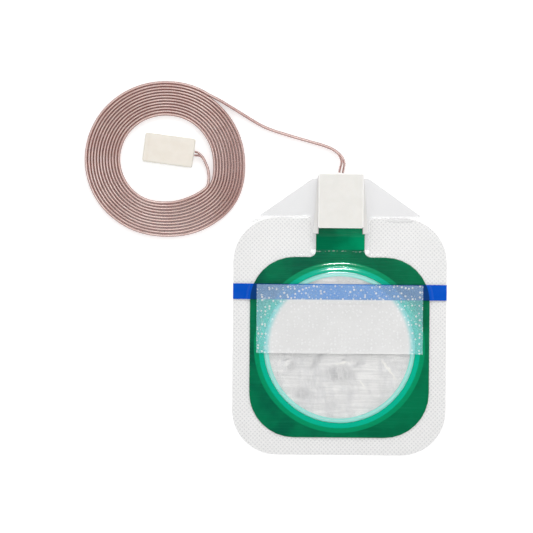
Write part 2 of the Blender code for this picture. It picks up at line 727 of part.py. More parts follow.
# Plug: two moulded halves around a pair of turned sockets
def make_plug_half(name, lower, material, parent):
    half_length = PLUG_LENGTH / 2
    half_width = PLUG_WIDTH / 2
    seam_low = (PLUG_HEIGHT - SEAT_GAP) / 2
    seam_high = (PLUG_HEIGHT + SEAT_GAP) / 2
    outline = rounded(mirrored([
        (half_length, -half_width, PLUG_CORNER), (half_length, half_width, PLUG_CORNER),
    ]))
    room = box_outline(
        -half_length + PLUG_NOSE_WALL, half_length - PLUG_WALL,
        -half_width + PLUG_WALL, half_width - PLUG_WALL,
    )
    if lower:
        body = block_mesh(outline, 0, seam_low, PLUG_EDGE, "bottom")
        hollow = block_mesh(room, PLUG_WALL, PLUG_HEIGHT)
    else:
        body = block_mesh(outline, seam_high, PLUG_HEIGHT, PLUG_EDGE, "top")
        hollow = block_mesh(room, 0, PLUG_HEIGHT - PLUG_WALL)
    shell = add_mesh(name, body, material, parent)
    shape_by(shell, name + "_room", hollow, "DIFFERENCE")
    for side, way in (("left", 1), ("right", -1)):
        profile = [
            (0, 0), (SOCKET_HOLE_RADIUS, 0), (SOCKET_HOLE_RADIUS, 2 * PLUG_NOSE_WALL),
            (0, 2 * PLUG_NOSE_WALL),
        ]
        along_x = Matrix.Rotation(math.radians(90), 4, "Y")
        start = Vector((-half_length - PLUG_NOSE_WALL / 2, way * SOCKET_SPACING / 2, PLUG_HEIGHT / 2))
        hole = turned_mesh(profile, TUBE_SEGMENTS, Matrix.Translation(start) @ along_x)
        shape_by(shell, name + "_hole_" + side, hole, "DIFFERENCE")
    slot_half = CORD_WIDTH / 2 + SEAT_GAP
    slot = box_outline(half_length - 2 * PLUG_WALL, half_length + ABOVE, -slot_half, slot_half)
    slot_height = CORD_THICKNESS / 2 + SEAT_GAP
    cut = block_mesh(slot, PLUG_HEIGHT / 2 - slot_height, PLUG_HEIGHT / 2 + slot_height)
    shape_by(shell, name + "_slot", cut, "DIFFERENCE")
    if not lower:
        line_x = -half_length + NOSE_LINE_PLACE
        line = box_outline(line_x, line_x + NOSE_LINE_WIDTH, -PLUG_WIDTH, PLUG_WIDTH)
        groove = block_mesh(line, PLUG_HEIGHT - NOSE_LINE_DEPTH, PLUG_HEIGHT + ABOVE)
        shape_by(shell, name + "_line", groove, "DIFFERENCE")


def make_plug_socket(side, way, material, parent):
    bore_end = SOCKET_LENGTH - SOCKET_WEB / 2
    rear = SOCKET_LENGTH + SOCKET_BARREL_LENGTH
    profile = [
        (0, bore_end), (SOCKET_BORE, bore_end), (SOCKET_BORE, 0), (SOCKET_RADIUS, 0),
        (SOCKET_RADIUS, SOCKET_LENGTH), (SOCKET_BARREL_RADIUS, SOCKET_LENGTH),
        (SOCKET_BARREL_RADIUS, rear), (SOCKET_BARREL_BORE, rear),
        (SOCKET_BARREL_BORE, bore_end + SOCKET_WEB), (0, bore_end + SOCKET_WEB),
    ]
    front = -PLUG_LENGTH / 2 + PLUG_NOSE_WALL + SEAT_GAP
    start = Vector((front, way * SOCKET_SPACING / 2, PLUG_HEIGHT / 2))
    along_x = Matrix.Rotation(math.radians(90), 4, "Y")
    bm = turned_mesh(profile, TUBE_SEGMENTS, Matrix.Translation(start) @ along_x)
    add_mesh("plug_socket_" + side, bm, material, parent)


def make_plug_core(side, way, material, parent):
    wall = PLUG_LENGTH / 2 - PLUG_WALL
    sleeve = SOCKET_LENGTH + SOCKET_BARREL_LENGTH
    barrel = -PLUG_LENGTH / 2 + PLUG_NOSE_WALL + SEAT_GAP + sleeve
    route = core_route(PLUG_LENGTH / 2, wall, barrel, SOCKET_BARREL_LENGTH, SOCKET_SPACING / 2)
    points = [(along, way * across, PLUG_HEIGHT / 2) for along, across in route]
    add_tube("plug_core_" + side, points, CORE_RADIUS, CORE_RADIUS, material, parent)


def make_plug(shell_material, metal, core_material):
    place = bpy.data.objects.new("plug_place", None)
    bpy.context.scene.collection.objects.link(place)
    place.location = PLUG_CENTRE
    place.rotation_euler = (0, 0, PLUG_TURN)
    make_plug_half("plug_base", True, shell_material, place)
    make_plug_half("plug_cover", False, shell_material, place)
    for side, way in (("left", 1), ("right", -1)):
        make_plug_socket(side, way, metal, place)
        make_plug_core(side, way, core_material, place)


make_backing()
make_foil()
make_mask()
make_gel()
make_liner()
make_tapes()

ivory = new_material("ivory_plastic", (0.88, 0.85, 0.80), 0.4)
plated = new_material("plated_metal", (0.75, 0.74, 0.70), 0.3, 1.0)
core_insulation = new_material("core_insulation", (0.82, 0.60, 0.50), 0.35)
make_clamp_base(ivory)
make_clamp_lid(ivory)
for side_name, side_way in (("left", -1), ("right", 1)):
    make_contact(side_name, side_way, plated)
    make_clamp_core(side_name, side_way, core_insulation)
make_cord()
make_plug(ivory, plated, core_insulation)
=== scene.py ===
"""Looks of an electrosurgical grounding pad with its clamp, coiled cord and plug."""

import math

import bmesh
import bpy
import numpy as np
from mathutils import Matrix, Vector


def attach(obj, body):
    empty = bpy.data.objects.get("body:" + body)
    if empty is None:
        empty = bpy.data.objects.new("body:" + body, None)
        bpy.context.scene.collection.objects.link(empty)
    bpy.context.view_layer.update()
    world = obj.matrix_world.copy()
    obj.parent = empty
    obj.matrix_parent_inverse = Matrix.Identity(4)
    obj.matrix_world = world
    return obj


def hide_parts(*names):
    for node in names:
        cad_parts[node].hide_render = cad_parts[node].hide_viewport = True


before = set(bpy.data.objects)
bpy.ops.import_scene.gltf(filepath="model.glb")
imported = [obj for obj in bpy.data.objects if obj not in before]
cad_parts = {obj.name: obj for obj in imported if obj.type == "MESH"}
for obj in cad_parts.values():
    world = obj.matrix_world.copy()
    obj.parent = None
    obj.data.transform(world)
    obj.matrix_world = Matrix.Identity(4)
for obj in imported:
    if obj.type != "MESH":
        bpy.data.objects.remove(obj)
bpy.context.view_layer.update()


# Camera
# It hangs straight above the pad and the coil and is rolled by half a degree, as the
# pad lies turned in the picture.
VIEW_CENTRE = Vector((-0.0478, 0.0307, 0.0))
VIEW_SIZE = 0.3465
CAMERA_HEIGHT = 1.5
CAMERA_ROLL = math.radians(0.5)

camera_data = bpy.data.cameras.new("camera")
camera_data.sensor_width = 36.0
camera_data.lens = camera_data.sensor_width * CAMERA_HEIGHT / VIEW_SIZE
camera = bpy.data.objects.new("camera", camera_data)
camera.location = VIEW_CENTRE + Vector((0, 0, CAMERA_HEIGHT))
camera.rotation_euler = (0, 0, CAMERA_ROLL)
bpy.context.scene.collection.objects.link(camera)
bpy.context.scene.camera = camera


# Cord
# A flat twin cord: two bundles of fine copper strands side by side in one clear
# jacket. It runs from the clamp into a flat coil of nearly twelve turns, standing on
# its edge, and from the innermost turn to the plug.
CORD_LENGTH = 3.10
CORD_WIDTH = 0.0039
LOBE_RADIUS = 0.000915
WEB_HALF = 0.00058
BUNDLE_RADIUS = 0.00052
LYING = CORD_WIDTH / 2
CORD_STEP = 0.0021
LEAD_TWIST = 0.016
TAIL_TWIST = 0.006
WELD = 1e-6
WIRES = 7
WIRE_TWIST = 900.0  # radians a metre
# Where the painted highlight on the copper fades from left to right across the coil, and grows again on the
# lead
HIGHLIGHT_FADING = (-0.088, -0.070)
HIGHLIGHT_RISING = (-0.062, -0.045)
LEAD = [
    (0.0000, 0.0917, 0.0040), (0.0004, 0.0943, 0.0040), (0.0011, 0.0970, 0.0038),
    (0.0010, 0.0998, 0.0035), (-0.0004, 0.1027, 0.0032), (-0.0028, 0.1053, 0.0028),
    (-0.0058, 0.1073, 0.0025), (-0.0091, 0.1087, 0.0022), (-0.0132, 0.1101, 0.00205),
    (-0.0176, 0.1113, LYING), (-0.0224, 0.1126, LYING), (-0.0278, 0.1141, LYING),
    (-0.0330, 0.1156, LYING), (-0.0380, 0.1171, LYING), (-0.0430, 0.1186, LYING),
    (-0.0478, 0.1203, LYING), (-0.0526, 0.1225, LYING), (-0.0580, 0.1256, LYING),
    (-0.0639, 0.1292, LYING), (-0.0698, 0.1328, LYING), (-0.0735, 0.1350, LYING),
    (-0.0766, 0.1369, LYING), (-0.0812, 0.1394, LYING),
]
TAIL = [
    (-0.0876, 0.0812, LYING), (-0.0861, 0.0841, LYING), (-0.0857, 0.0890, LYING),
    (-0.0866, 0.0943, LYING), (-0.0879, 0.0975, 0.0020), (-0.0892, 0.1002, 0.0022),
    (-0.0899, 0.1012, 0.0024), (-0.0909, 0.1022, 0.0027), (-0.0923, 0.1030, 0.0031),
    (-0.0938, 0.1034, 0.0034), (-0.0953, 0.1036, 0.0035),
]
COIL_CENTRE = Vector((-0.1142, 0.0993, LYING))
COIL_FIRST_RADIUS = 0.02866
COIL_PITCH = 0.001885
COIL_TURNS = 11 + 259 / 360
COIL_START = math.radians(-45)
STEPS_A_TURN = 48
# How far the innermost and the outermost turn stray from the round, every 30 degrees
INNER_STRAY = (0.0016, 0.0008, 0.0003, -0.0001, 0.0001, 0.0006,
               0.0007, 0.0003, -0.0002, -0.0011, 0.0002, 0.0034)
OUTER_STRAY = (0.0019, 0.0008, 0.0002, -0.0003, 0.0001, 0.0009,
               0.0012, 0.0008, -0.0002, -0.0006, 0.0014, 0.0035)


def soft_step(share):
    return share * share * (3 - 2 * share)


def stray_at(strays, angle):
    """Smooth value between the twelve strays."""
    place = (angle / (2 * math.pi) * 12) % 12
    first = int(place)
    t = place - first
    a, b, c, d = (strays[(first + i) % 12] for i in (-1, 0, 1, 2))
    return b + 0.5 * t * (c - a + t * (2 * a - 5 * b + 4 * c - d + t * (3 * (b - c) + d - a)))


def coil_point(turns):
    """Place on the coil after so many turns from the inside."""
    angle = COIL_START - turns * 2 * math.pi
    share = turns / COIL_TURNS
    stray = stray_at(INNER_STRAY, angle) * (1 - share) + stray_at(OUTER_STRAY, angle) * share
    radius = COIL_FIRST_RADIUS + turns * COIL_PITCH + stray
    return COIL_CENTRE + radius * Vector((math.cos(angle), math.sin(angle), 0))


def evenly_spaced(points, spacing):
    """Evenly spaced points on a smooth curve through the given ones."""
    ends = [2 * points[0] - points[1]] + points + [2 * points[-1] - points[-2]]
    fine = [points[0]]
    for a, b, c, d in zip(ends, ends[1:], ends[2:], ends[3:]):
        for step in range(1, 7):
            t = step / 6
            fine.append(0.5 * ((2 * b) + (c - a) * t + (2 * a - 5 * b + 4 * c - d) * t**2
                               + (3 * b - a - 3 * c + d) * t**3))
    fine = np.array(fine)
    along = np.concatenate(([0], np.cumsum(np.linalg.norm(np.diff(fine, axis=0), axis=1))))
    stops = np.linspace(0, along[-1], round(along[-1] / spacing) + 1)
    return [Vector([np.interp(s, along, fine[:, axis]) for axis in range(3)]) for s in stops]


def add_piece(name, bm, material, replaced=()):
    """A piece of the object from a finished bmesh, riding on its one body."""
    mesh = bpy.data.meshes.new(name)
    bm.to_mesh(mesh)
    bm.free()
    mesh.shade_smooth()
    mesh.set_sharp_from_angle(angle=math.radians(50))
    mesh.materials.append(material)
    piece = bpy.data.objects.new(name, mesh)
    bpy.context.scene.collection.objects.link(piece)
    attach(piece, "root")
    if replaced:
        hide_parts(*replaced)
    return piece


def set_sockets(tree, node, sockets):
    """Gives each socket a value or another node's output."""
    for socket, value in sockets.items():
        if isinstance(value, bpy.types.NodeSocket):
            tree.links.new(value, node.inputs[socket])
        else:
            node.inputs[socket].default_value = value


def add_node(tree, kind, sockets=(), **settings):
    """A shader node with its settings and what goes into its sockets."""
    node = tree.nodes.new("ShaderNode" + kind)
    for name, value in settings.items():
        setattr(node, name, value)
    set_sockets(tree, node, dict(sockets))
    return node


def calculate(tree, operation, a, b=0.0):
    return add_node(tree, "Math", {0: a, 1: b}, operation=operation).outputs[0]


def blend_colours(tree, share, a, b):
    return add_node(tree, "Mix", {0: share, 6: a, 7: b}, data_type="RGBA").outputs[2]


def fade(tree, value, low, high, from_low=0.0, to_high=1.0):
    """Smooth change from one value to another as the input goes from low to high."""
    sockets = {0: value, 1: low, 2: high, 3: from_low, 4: to_high}
    return add_node(tree, "MapRange", sockets, interpolation_type="SMOOTHSTEP").outputs[0]


def noise(tree, vector, scale, detail=2.0, roughness=0.5):
    sockets = {"Vector": vector, "Scale": scale, "Detail": detail, "Roughness": roughness}
    return add_node(tree, "TexNoise", sockets).outputs[0]


def calculate_vector(tree, operation, a, b=(0, 0, 0)):
    return add_node(tree, "VectorMath", {0: a, 1: b}, operation=operation).outputs[0]


def stretched(tree, vector, factors):
    return calculate_vector(tree, "MULTIPLY", vector, factors)


def split_axes(tree, vector):
    return add_node(tree, "SeparateXYZ", {0: vector}).outputs


def object_place(tree):
    return add_node(tree, "TexCoord").outputs["Object"]


def new_finish(name):
    """A material with an empty node tree but for its shader."""
    material = bpy.data.materials.new(name)
    material.use_nodes = True
    return material, material.node_tree, material.node_tree.nodes["Principled BSDF"]


def raise_surface(tree, shader, height, distance, strength=1.0):
    bump = add_node(tree, "Bump", {"Height": height, "Distance": distance, "Strength": strength})
    tree.links.new(bump.outputs[0], shader.inputs["Normal"])


def gloss_over(tree, shader, roughness, ior=1.48):
    """Clear gloss of the outer faces over the shader's own colour, by the angle of view."""
    glossy = add_node(tree, "BsdfGlossy", {"Color": (1, 1, 1, 1), "Roughness": roughness})
    share = add_node(tree, "Fresnel", {"IOR": ior})
    outside = calculate(tree, "SUBTRACT", 1.0, add_node(tree, "NewGeometry").outputs["Backfacing"])
    gloss = calculate(tree, "MULTIPLY", share.outputs[0], outside)
    normal = shader.inputs["Normal"]
    if normal.is_linked:
        source = normal.links[0].from_socket
        tree.links.new(source, glossy.inputs["Normal"])
        tree.links.new(source, share.inputs["Normal"])
    mixed = add_node(tree, "MixShader", {0: gloss, 1: shader.outputs[0], 2: glossy.outputs[0]})
    output = tree.nodes["Material Output"]
    tree.links.new(mixed.outputs[0], output.inputs["Surface"])


def along_and_around(tree):
    """Metres along the cord, and the share of the way round it."""
    uv = split_axes(tree, add_node(tree, "UVMap", uv_map="UVMap").outputs[0])
    return calculate(tree, "MULTIPLY", uv[0], CORD_LENGTH), uv[1]


def clear_jacket():
    """Clear soft plastic with faint flow lines along the cord, tinted dark red-brown and more opaque on its
    flanks as seen, as painted shade in the grooves between the turns.
    """
    material, tree, shader = new_finish("clear jacket")
    along, around = along_and_around(tree)
    spot = add_node(tree, "CombineXYZ", {0: calculate(tree, "MULTIPLY", along, 40.0),
                                         1: calculate(tree, "MULTIPLY", around, 9.0)}).outputs[0]
    flow = noise(tree, spot, 1.0, 3.0)
    # dark red-brown tint, shown on the flanks by the facing alpha below: painted shade in the grooves
    # between the turns
    tone = blend_colours(tree, flow, (0.44, 0.11, 0.075, 1), (0.65, 0.26, 0.20, 1))
    flank = add_node(tree, "LayerWeight", {"Blend": 0.5}).outputs["Facing"]
    clear = fade(tree, flow, 0.3, 0.7, 0.03, 0.08)
    set_sockets(tree, shader, {"Base Color": tone, "Alpha": fade(tree, flank, 0.12, 0.5, clear, 0.6),
                               "Roughness": 0.25})
    raise_surface(tree, shader, flow, 0.00008)
    gloss_over(tree, shader, 0.2, 1.6)
    return material


def copper_strands():
    """Fine copper wires laid round each other, with a painted highlight along their tops and painted shade
    on their flanks.
    """
    material, tree, shader = new_finish("copper strands")
    along, around = along_and_around(tree)
    winding = calculate(tree, "ADD", calculate(tree, "MULTIPLY", along, WIRE_TWIST),
                        calculate(tree, "MULTIPLY", around, WIRES * 2 * math.pi))
    wires = fade(tree, calculate(tree, "SINE", winding), -1.0, 1.0)
    place = object_place(tree)
    patches = noise(tree, place, 60.0, 3.0)
    copper = blend_colours(tree, wires, (0.12, 0.024, 0.018, 1), (0.40, 0.11, 0.08, 1))
    turn = calculate(tree, "MULTIPLY", around, 2 * math.pi)
    height = calculate(tree, "ABSOLUTE", calculate(tree, "SINE", turn))
    across = split_axes(tree, place)[0]
    lit = calculate(tree, "MAXIMUM", fade(tree, across, *HIGHLIGHT_FADING, 1.0, 0.55),
                    fade(tree, across, *HIGHLIGHT_RISING, 0.5, 1.0))
    bright = calculate(tree, "MULTIPLY", lit, fade(tree, patches, 0.3, 0.65, 1.0, 0.72))
    # painted highlight on the tops of the bundles, weaker towards the coil's right, over copper darkened on
    # the flanks as painted shade
    painted_highlight = blend_colours(tree, bright, (0.36, 0.13, 0.10, 1), (1.0, 0.83, 0.775, 1))
    painted_lit_copper = blend_colours(tree, fade(tree, height, 0.4, 0.72), copper, painted_highlight)
    set_sockets(tree, shader, {"Base Color": painted_lit_copper, "Metallic": 0.2,
                               "Roughness": fade(tree, wires, 0.0, 1.0, 0.5, 0.32)})
    raise_surface(tree, shader, wires, 0.00005)
    return material


def profile_ring(curve, points):
    ring = curve.splines.new("POLY")
    ring.points.add(len(points) - 1)
    for spot, (x, y) in zip(ring.points, points):
        spot.co = (x, y, 0, 1)
    ring.use_cyclic_u = True


def sweep(profile, path, tilts):
    """Mesh of a profile led along a path, with a UV map along and around it."""
    line = bpy.data.curves.new("cord line", "CURVE")
    line.dimensions = "3D"
    line.twist_mode = "Z_UP"
    line.bevel_mode = "OBJECT"
    line.bevel_object = bpy.data.objects.new("cord profile", profile)
    line.use_fill_caps = True
    spline = line.splines.new("POLY")
    spline.points.add(len(path) - 1)
    for spot, point, tilt in zip(spline.points, path, tilts):
        spot.co = (*point, 1)
        spot.tilt = tilt
    holder = bpy.data.objects.new("cord line", line)
    for helper in (holder, line.bevel_object):
        bpy.context.scene.collection.objects.link(helper)
    bpy.context.view_layer.update()
    mesh = bpy.data.meshes.new_from_object(holder.evaluated_get(bpy.context.evaluated_depsgraph_get()))
    bpy.data.objects.remove(line.bevel_object)
    bpy.data.objects.remove(holder)
    return mesh


coil_steps = round(COIL_TURNS * STEPS_A_TURN)
coil = [coil_point(COIL_TURNS * step / coil_steps) for step in range(coil_steps, -1, -1)]
cord_path = evenly_spaced([Vector(p) for p in LEAD] + coil + [Vector(p) for p in TAIL], CORD_STEP)
cord_tilts = []
for step in range(len(cord_path)):
    from_clamp = step * CORD_STEP / LEAD_TWIST
    from_plug = (len(cord_path) - 1 - step) * CORD_STEP / TAIL_TWIST
    cord_tilts.append(math.pi / 2 * soft_step(max(0, 1 - min(from_clamp, from_plug))))

# two round lobes joined by a web, and a bundle of wires in each
lobe_middle = CORD_WIDTH / 2 - LOBE_RADIUS
waist = math.acos(WEB_HALF / LOBE_RADIUS)
upper = [(LOBE_RADIUS * math.cos(a), lobe_middle + LOBE_RADIUS * math.sin(a))
         for a in np.linspace(-waist, math.pi + waist, 10)]
jacket_profile = bpy.data.curves.new("jacket profile", "CURVE")
profile_ring(jacket_profile, upper + [(-x, -y) for x, y in upper])
bundle_profile = bpy.data.curves.new("bundle profile", "CURVE")
for middle in (lobe_middle, -lobe_middle):
    profile_ring(bundle_profile, [(BUNDLE_RADIUS * math.cos(a), middle + BUNDLE_RADIUS * math.sin(a))
                                  for a in np.linspace(0, 2 * math.pi, 9)[:-1]])
# the bundles end just inside the jacket
bundle_path = list(cord_path)
bundle_path[0] = cord_path[0].lerp(cord_path[1], 0.1)
bundle_path[-1] = cord_path[-1].lerp(cord_path[-2], 0.1)
cord_bm = bmesh.new()
cord_bm.from_mesh(sweep(jacket_profile, cord_path, cord_tilts))
jacket_faces = len(cord_bm.faces)
cord_bm.from_mesh(sweep(bundle_profile, bundle_path, cord_tilts))
cord_bm.faces.ensure_lookup_table()
for face in cord_bm.faces[jacket_faces:]:
    face.material_index = 1
bmesh.ops.remove_doubles(cord_bm, verts=cord_bm.verts, dist=WELD)
bmesh.ops.recalc_face_normals(cord_bm, faces=cord_bm.faces)
cord = add_piece("cord", cord_bm, clear_jacket(),
                 ("cord_lead", "cord_coil", "cord_tail"))
cord.data.materials.append(copper_strands())


# Backing
# A white nonwoven sheet, heat-embossed with rows of small dots, die-cut with round
# corners and a notch for the electrode's neck. It lies on the table and carries all.
PAD_WIDTH = 0.1388
PAD_LENGTH = 0.1542
PAD_CORNER = 0.029
PAD_FOOT = -0.0914
PAD_HEAD = PAD_FOOT + PAD_LENGTH
BACKING_THICKNESS = 0.0008
BACKING_EDGE = 0.00025
NOTCH_HALF = 0.01925
NOTCH_FOOT = 0.0388
NOTCH_CORNER = 0.003
EMBOSS_PITCH = 0.00197


def rounded_outline(half, steps=10):
    """Places round an outline with two like sides, from one side's corners (x, y, radius)."""
    corners = half + [(-x, y, radius) for x, y, radius in reversed(half)]
    bm = bmesh.new()
    verts = [bm.verts.new((x, y, 0)) for x, y, _ in corners]
    bm.faces.new(verts)
    for i, vert in enumerate(verts):
        radius = corners[i][2]
        if radius > 0:
            here = Vector(corners[i][:2])
            before = Vector(corners[i - 1][:2]) - here
            after = Vector(corners[(i + 1) % len(corners)][:2]) - here
            bmesh.ops.bevel(
                bm, geom=[vert], offset=radius / math.tan(before.angle(after) / 2),
                segments=steps, profile=0.5, affect="VERTICES", material=-1,
            )
    bm.faces.ensure_lookup_table()
    points = [v.co.copy() for v in bm.faces[0].verts]
    bm.free()
    return points


def thicken(bm, thickness):
    """Lifts a copy of an open sheet by its thickness and walls the rim."""
    lifted = bmesh.ops.extrude_face_region(bm, geom=bm.faces[:], use_keep_orig=True)
    verts = [part for part in lifted["geom"] if isinstance(part, bmesh.types.BMVert)]
    bmesh.ops.translate(bm, vec=(0, 0, thickness), verts=verts)
    bmesh.ops.recalc_face_normals(bm, faces=bm.faces)
    return verts


def round_rim(bm, verts, width):
    """Bevels the outer edges between these verts."""
    chosen = set(verts)
    rim = [e for e in bm.edges if all(v in chosen for v in e.verts)
           and len(e.link_faces) == 2 and e.calc_face_angle(0) > 0.5]
    bmesh.ops.bevel(bm, geom=rim, offset=width, segments=3, profile=0.5,
                    affect="EDGES", material=-1, clamp_overlap=True)


def nonwoven():
    """White fibres, pressed flat in small dots that stand in slanting rows."""
    material, tree, shader = new_finish("embossed nonwoven")
    place = object_place(tree)
    turned = add_node(tree, "Mapping", {"Vector": place, "Rotation": (0, 0, math.radians(45))})
    waves = [calculate(tree, "COSINE", calculate(tree, "MULTIPLY", axis, 2 * math.pi / EMBOSS_PITCH))
             for axis in split_axes(tree, turned.outputs[0])[:2]]
    dots = fade(tree, calculate(tree, "ADD", waves[0], waves[1]), 0.2, 1.5)
    fibres = noise(tree, stretched(tree, place, (1.0, 0.25, 1.0)), 2600.0, 4.0, 0.7)
    crossing = noise(tree, stretched(tree, place, (0.25, 1.0, 1.0)), 2200.0, 4.0, 0.7)
    felt = calculate(tree, "MULTIPLY", calculate(tree, "ADD", fibres, crossing), 0.5)
    clouds = noise(tree, place, 120.0, 3.0)
    matted = fade(tree, felt, 0.35, 0.65)
    white = blend_colours(tree, matted, (0.87, 0.87, 0.86, 1), (0.98, 0.975, 0.97, 1))
    soft = blend_colours(tree, fade(tree, clouds, 0.3, 0.7, 0.0, 0.4), white, (0.95, 0.95, 0.945, 1))
    pressed = blend_colours(tree, dots, soft, (0.78, 0.78, 0.785, 1))
    set_sockets(tree, shader, {
        "Base Color": pressed, "Roughness": fade(tree, dots, 0.0, 1.0, 0.92, 0.6),
        "Sheen Weight": 0.1, "Specular IOR Level": 0.3,
    })
    height = calculate(tree, "SUBTRACT", felt, dots)
    raise_surface(tree, shader, height, 0.00007, 0.6)
    return material


backing_outline = rounded_outline([
    (PAD_WIDTH / 2, PAD_FOOT, PAD_CORNER), (PAD_WIDTH / 2, PAD_HEAD, PAD_CORNER),
    (NOTCH_HALF, PAD_HEAD, NOTCH_CORNER), (NOTCH_HALF, NOTCH_FOOT, NOTCH_CORNER),
])
backing_bm = bmesh.new()
cut = backing_bm.faces.new([backing_bm.verts.new(p) for p in backing_outline])
backing_area = cut.calc_area()
backing_top = thicken(backing_bm, BACKING_THICKNESS)
round_rim(backing_bm, backing_top, BACKING_EDGE)
backing = add_piece("backing", backing_bm, nonwoven(), ("backing_sheet",))


# Foil plate
# Bare aluminium foil, the electrode itself. It shows through the gel as a slightly
# wrinkled silver disc and ends in a tongue between the clamp's jaws.
PLATE_MIDDLE = -0.0214


def new_group(name, inputs, outputs):
    """A shader node group with named sockets, and what goes in and out of it."""
    group = bpy.data.node_groups.new(name, "ShaderNodeTree")
    for in_out, sockets in (("INPUT", inputs), ("OUTPUT", outputs)):
        for socket, kind in sockets.items():
            group.interface.new_socket(socket, in_out=in_out, socket_type="NodeSocket" + kind)
    return group, group.nodes.new("NodeGroupInput").outputs, group.nodes.new("NodeGroupOutput")


def film_streaks():
    """Group: fine lines that the rolling of a film leaves, and its slow unevenness."""
    group, given, result = new_group("rolled film", {"Place": "Vector", "Line Spacing": "Float"},
                                     {"Lines": "Float", "Clouds": "Float"})
    scale = calculate(group, "DIVIDE", 1.0, given["Line Spacing"])
    lines = noise(group, stretched(group, given["Place"], (0.06, 1.0, 1.0)), scale, 3.0)
    set_sockets(group, result, {"Lines": lines, "Clouds": noise(group, given["Place"], 45.0, 3.0)})
    return group


rolled_film = film_streaks()


def add_streaks(tree, place, spacing):
    """Lines and clouds of a rolled film."""
    sockets = {"Place": place, "Line Spacing": spacing}
    return add_node(tree, "Group", sockets, node_tree=rolled_film).outputs[:2]


def length_above(tree, vector):
    """Length of a vector seen from above."""
    flat = stretched(tree, vector, (1, 1, 0))
    return add_node(tree, "VectorMath", {0: flat}, operation="LENGTH").outputs["Value"]


def from_middle(tree, place):
    """Distance from the plate's middle, seen from above."""
    return length_above(tree, calculate_vector(tree, "SUBTRACT", place, (0, PLATE_MIDDLE, 0)))


def dress_node(name, material):
    """Gives a node of the frame its finish."""
    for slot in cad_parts[name].material_slots:
        slot.material = material


def soft_patch(tree, place, middle, half, turn, core):
    """A soft oval patch, full over its core."""
    sockets = {"Vector": place, "Location": (*middle, 0), "Rotation": (0, 0, turn), "Scale": (*half, 1)}
    local = add_node(tree, "Mapping", sockets, vector_type="TEXTURE").outputs[0]
    return fade(tree, length_above(tree, local), core, 1.0, 1.0, 0.0)


def soft_patches(tree, place, patches, core):
    """Several soft patches as one mask."""
    mask = 0.0
    for middle, half, turn in patches:
        mask = calculate(tree, "MAXIMUM", soft_patch(tree, place, middle, half, turn, core), mask)
    return mask


# Where the foil under the gel is dented, painted darker as shade, and where a fold catches the light,
# painted as a highlight: the middle, the half sizes and the turn of each patch, and how wide their rims
# wander
WANDER = 0.006
SHADED_DENTS = (
    ((0.0000, -0.0390), (0.0150, 0.0080), 0.0), ((-0.0140, -0.0290), (0.0035, 0.0120), -0.6),
    ((-0.0310, -0.0340), (0.0030, 0.0090), -0.5), ((-0.0235, -0.0520), (0.0090, 0.0050), 0.0),
    ((0.0035, -0.0300), (0.0048, 0.0014), 0.0), ((-0.0350, -0.0295), (0.0040, 0.0010), 0.15),
    ((0.0130, -0.0320), (0.0050, 0.0030), 0.5),
)
FOLDS = (
    ((0.0320, -0.0355), (0.0012, 0.0110), 0.75), ((0.0015, -0.0320), (0.0060, 0.0007), 0.08),
    ((0.0005, -0.0072), (0.0036, 0.0010), -0.05), ((0.0150, -0.0450), (0.0008, 0.0060), 0.35),
)


def bare_foil():
    """Aluminium foil: rolling lines, dents, a few folds and fine wrinkles, with painted light and shade on
    the wrinkles, painted shade in the dents and painted highlights on the folds.
    """
    material, tree, shader = new_finish("wrinkled aluminium foil")
    place = object_place(tree)
    lines = add_streaks(tree, place, 0.0014)[0]
    slanted = add_node(tree, "Mapping", {"Vector": place, "Rotation": (0, 0, math.radians(35)),
                                         "Scale": (1.0, 0.35, 1.0)}).outputs[0]
    creases = add_node(tree, "TexNoise", {"Vector": slanted, "Scale": 70.0, "Detail": 5.0,
                                          "Roughness": 0.62, "Distortion": 0.6}).outputs[0]
    height = calculate(tree, "ADD", creases, calculate(tree, "MULTIPLY", lines, 0.08))
    crinkles = noise(tree, slanted, 420.0, 4.0, 0.6)
    relief = calculate(tree, "MULTIPLY", calculate(tree, "ADD", creases, crinkles), 0.5)
    # painted light and shade: raised wrinkles lighter, low ones darker
    raised = fade(tree, relief, 0.38, 0.58)
    painted_wrinkle_light = blend_colours(tree, raised, (0.79, 0.79, 0.80, 1), (0.95, 0.945, 0.935, 1))
    wander = add_node(tree, "TexNoise", {"Vector": place, "Scale": 150.0}).outputs["Color"]
    astray = calculate_vector(tree, "SUBTRACT", wander, (0.5, 0.5, 0.5))
    shifted = calculate_vector(tree, "ADD", place, stretched(tree, astray, (WANDER, WANDER, 0)))
    # painted shade in the dents
    dent_shade = calculate(tree, "MULTIPLY", soft_patches(tree, shifted, SHADED_DENTS, 0.2),
                       fade(tree, crinkles, 0.38, 0.6, 0.25, 0.9))
    dent_shaded = blend_colours(tree, dent_shade, painted_wrinkle_light, (0.50, 0.50, 0.515, 1))
    ruling = fade(tree, lines, 0.4, 0.6, 0.0, 0.55)
    ruled = blend_colours(tree, ruling, dent_shaded, (0.70, 0.70, 0.70, 1))
    # painted highlights on the folds
    tone = blend_colours(tree, soft_patches(tree, shifted, FOLDS, 0.3), ruled, (1.0, 0.99, 0.95, 1))
    set_sockets(tree, shader, {
        "Base Color": tone, "Metallic": 0.08,
        "Roughness": fade(tree, creases, 0.3, 0.7, 0.4, 0.55),
    })
    raise_surface(tree, shader, height, 0.002)
    return material


dress_node("foil_plate", bare_foil())


# Green film
# A clear film printed green on its back, with a round window for the gel. It covers
# the foil's rim and neck, so that only the gel touches the skin.
GEL_RADIUS = 0.0489
DOME_STEP_RADIUS = 0.0525
DOME_FOOT_RADIUS = 0.0554
SLIT_Y = 0.0418


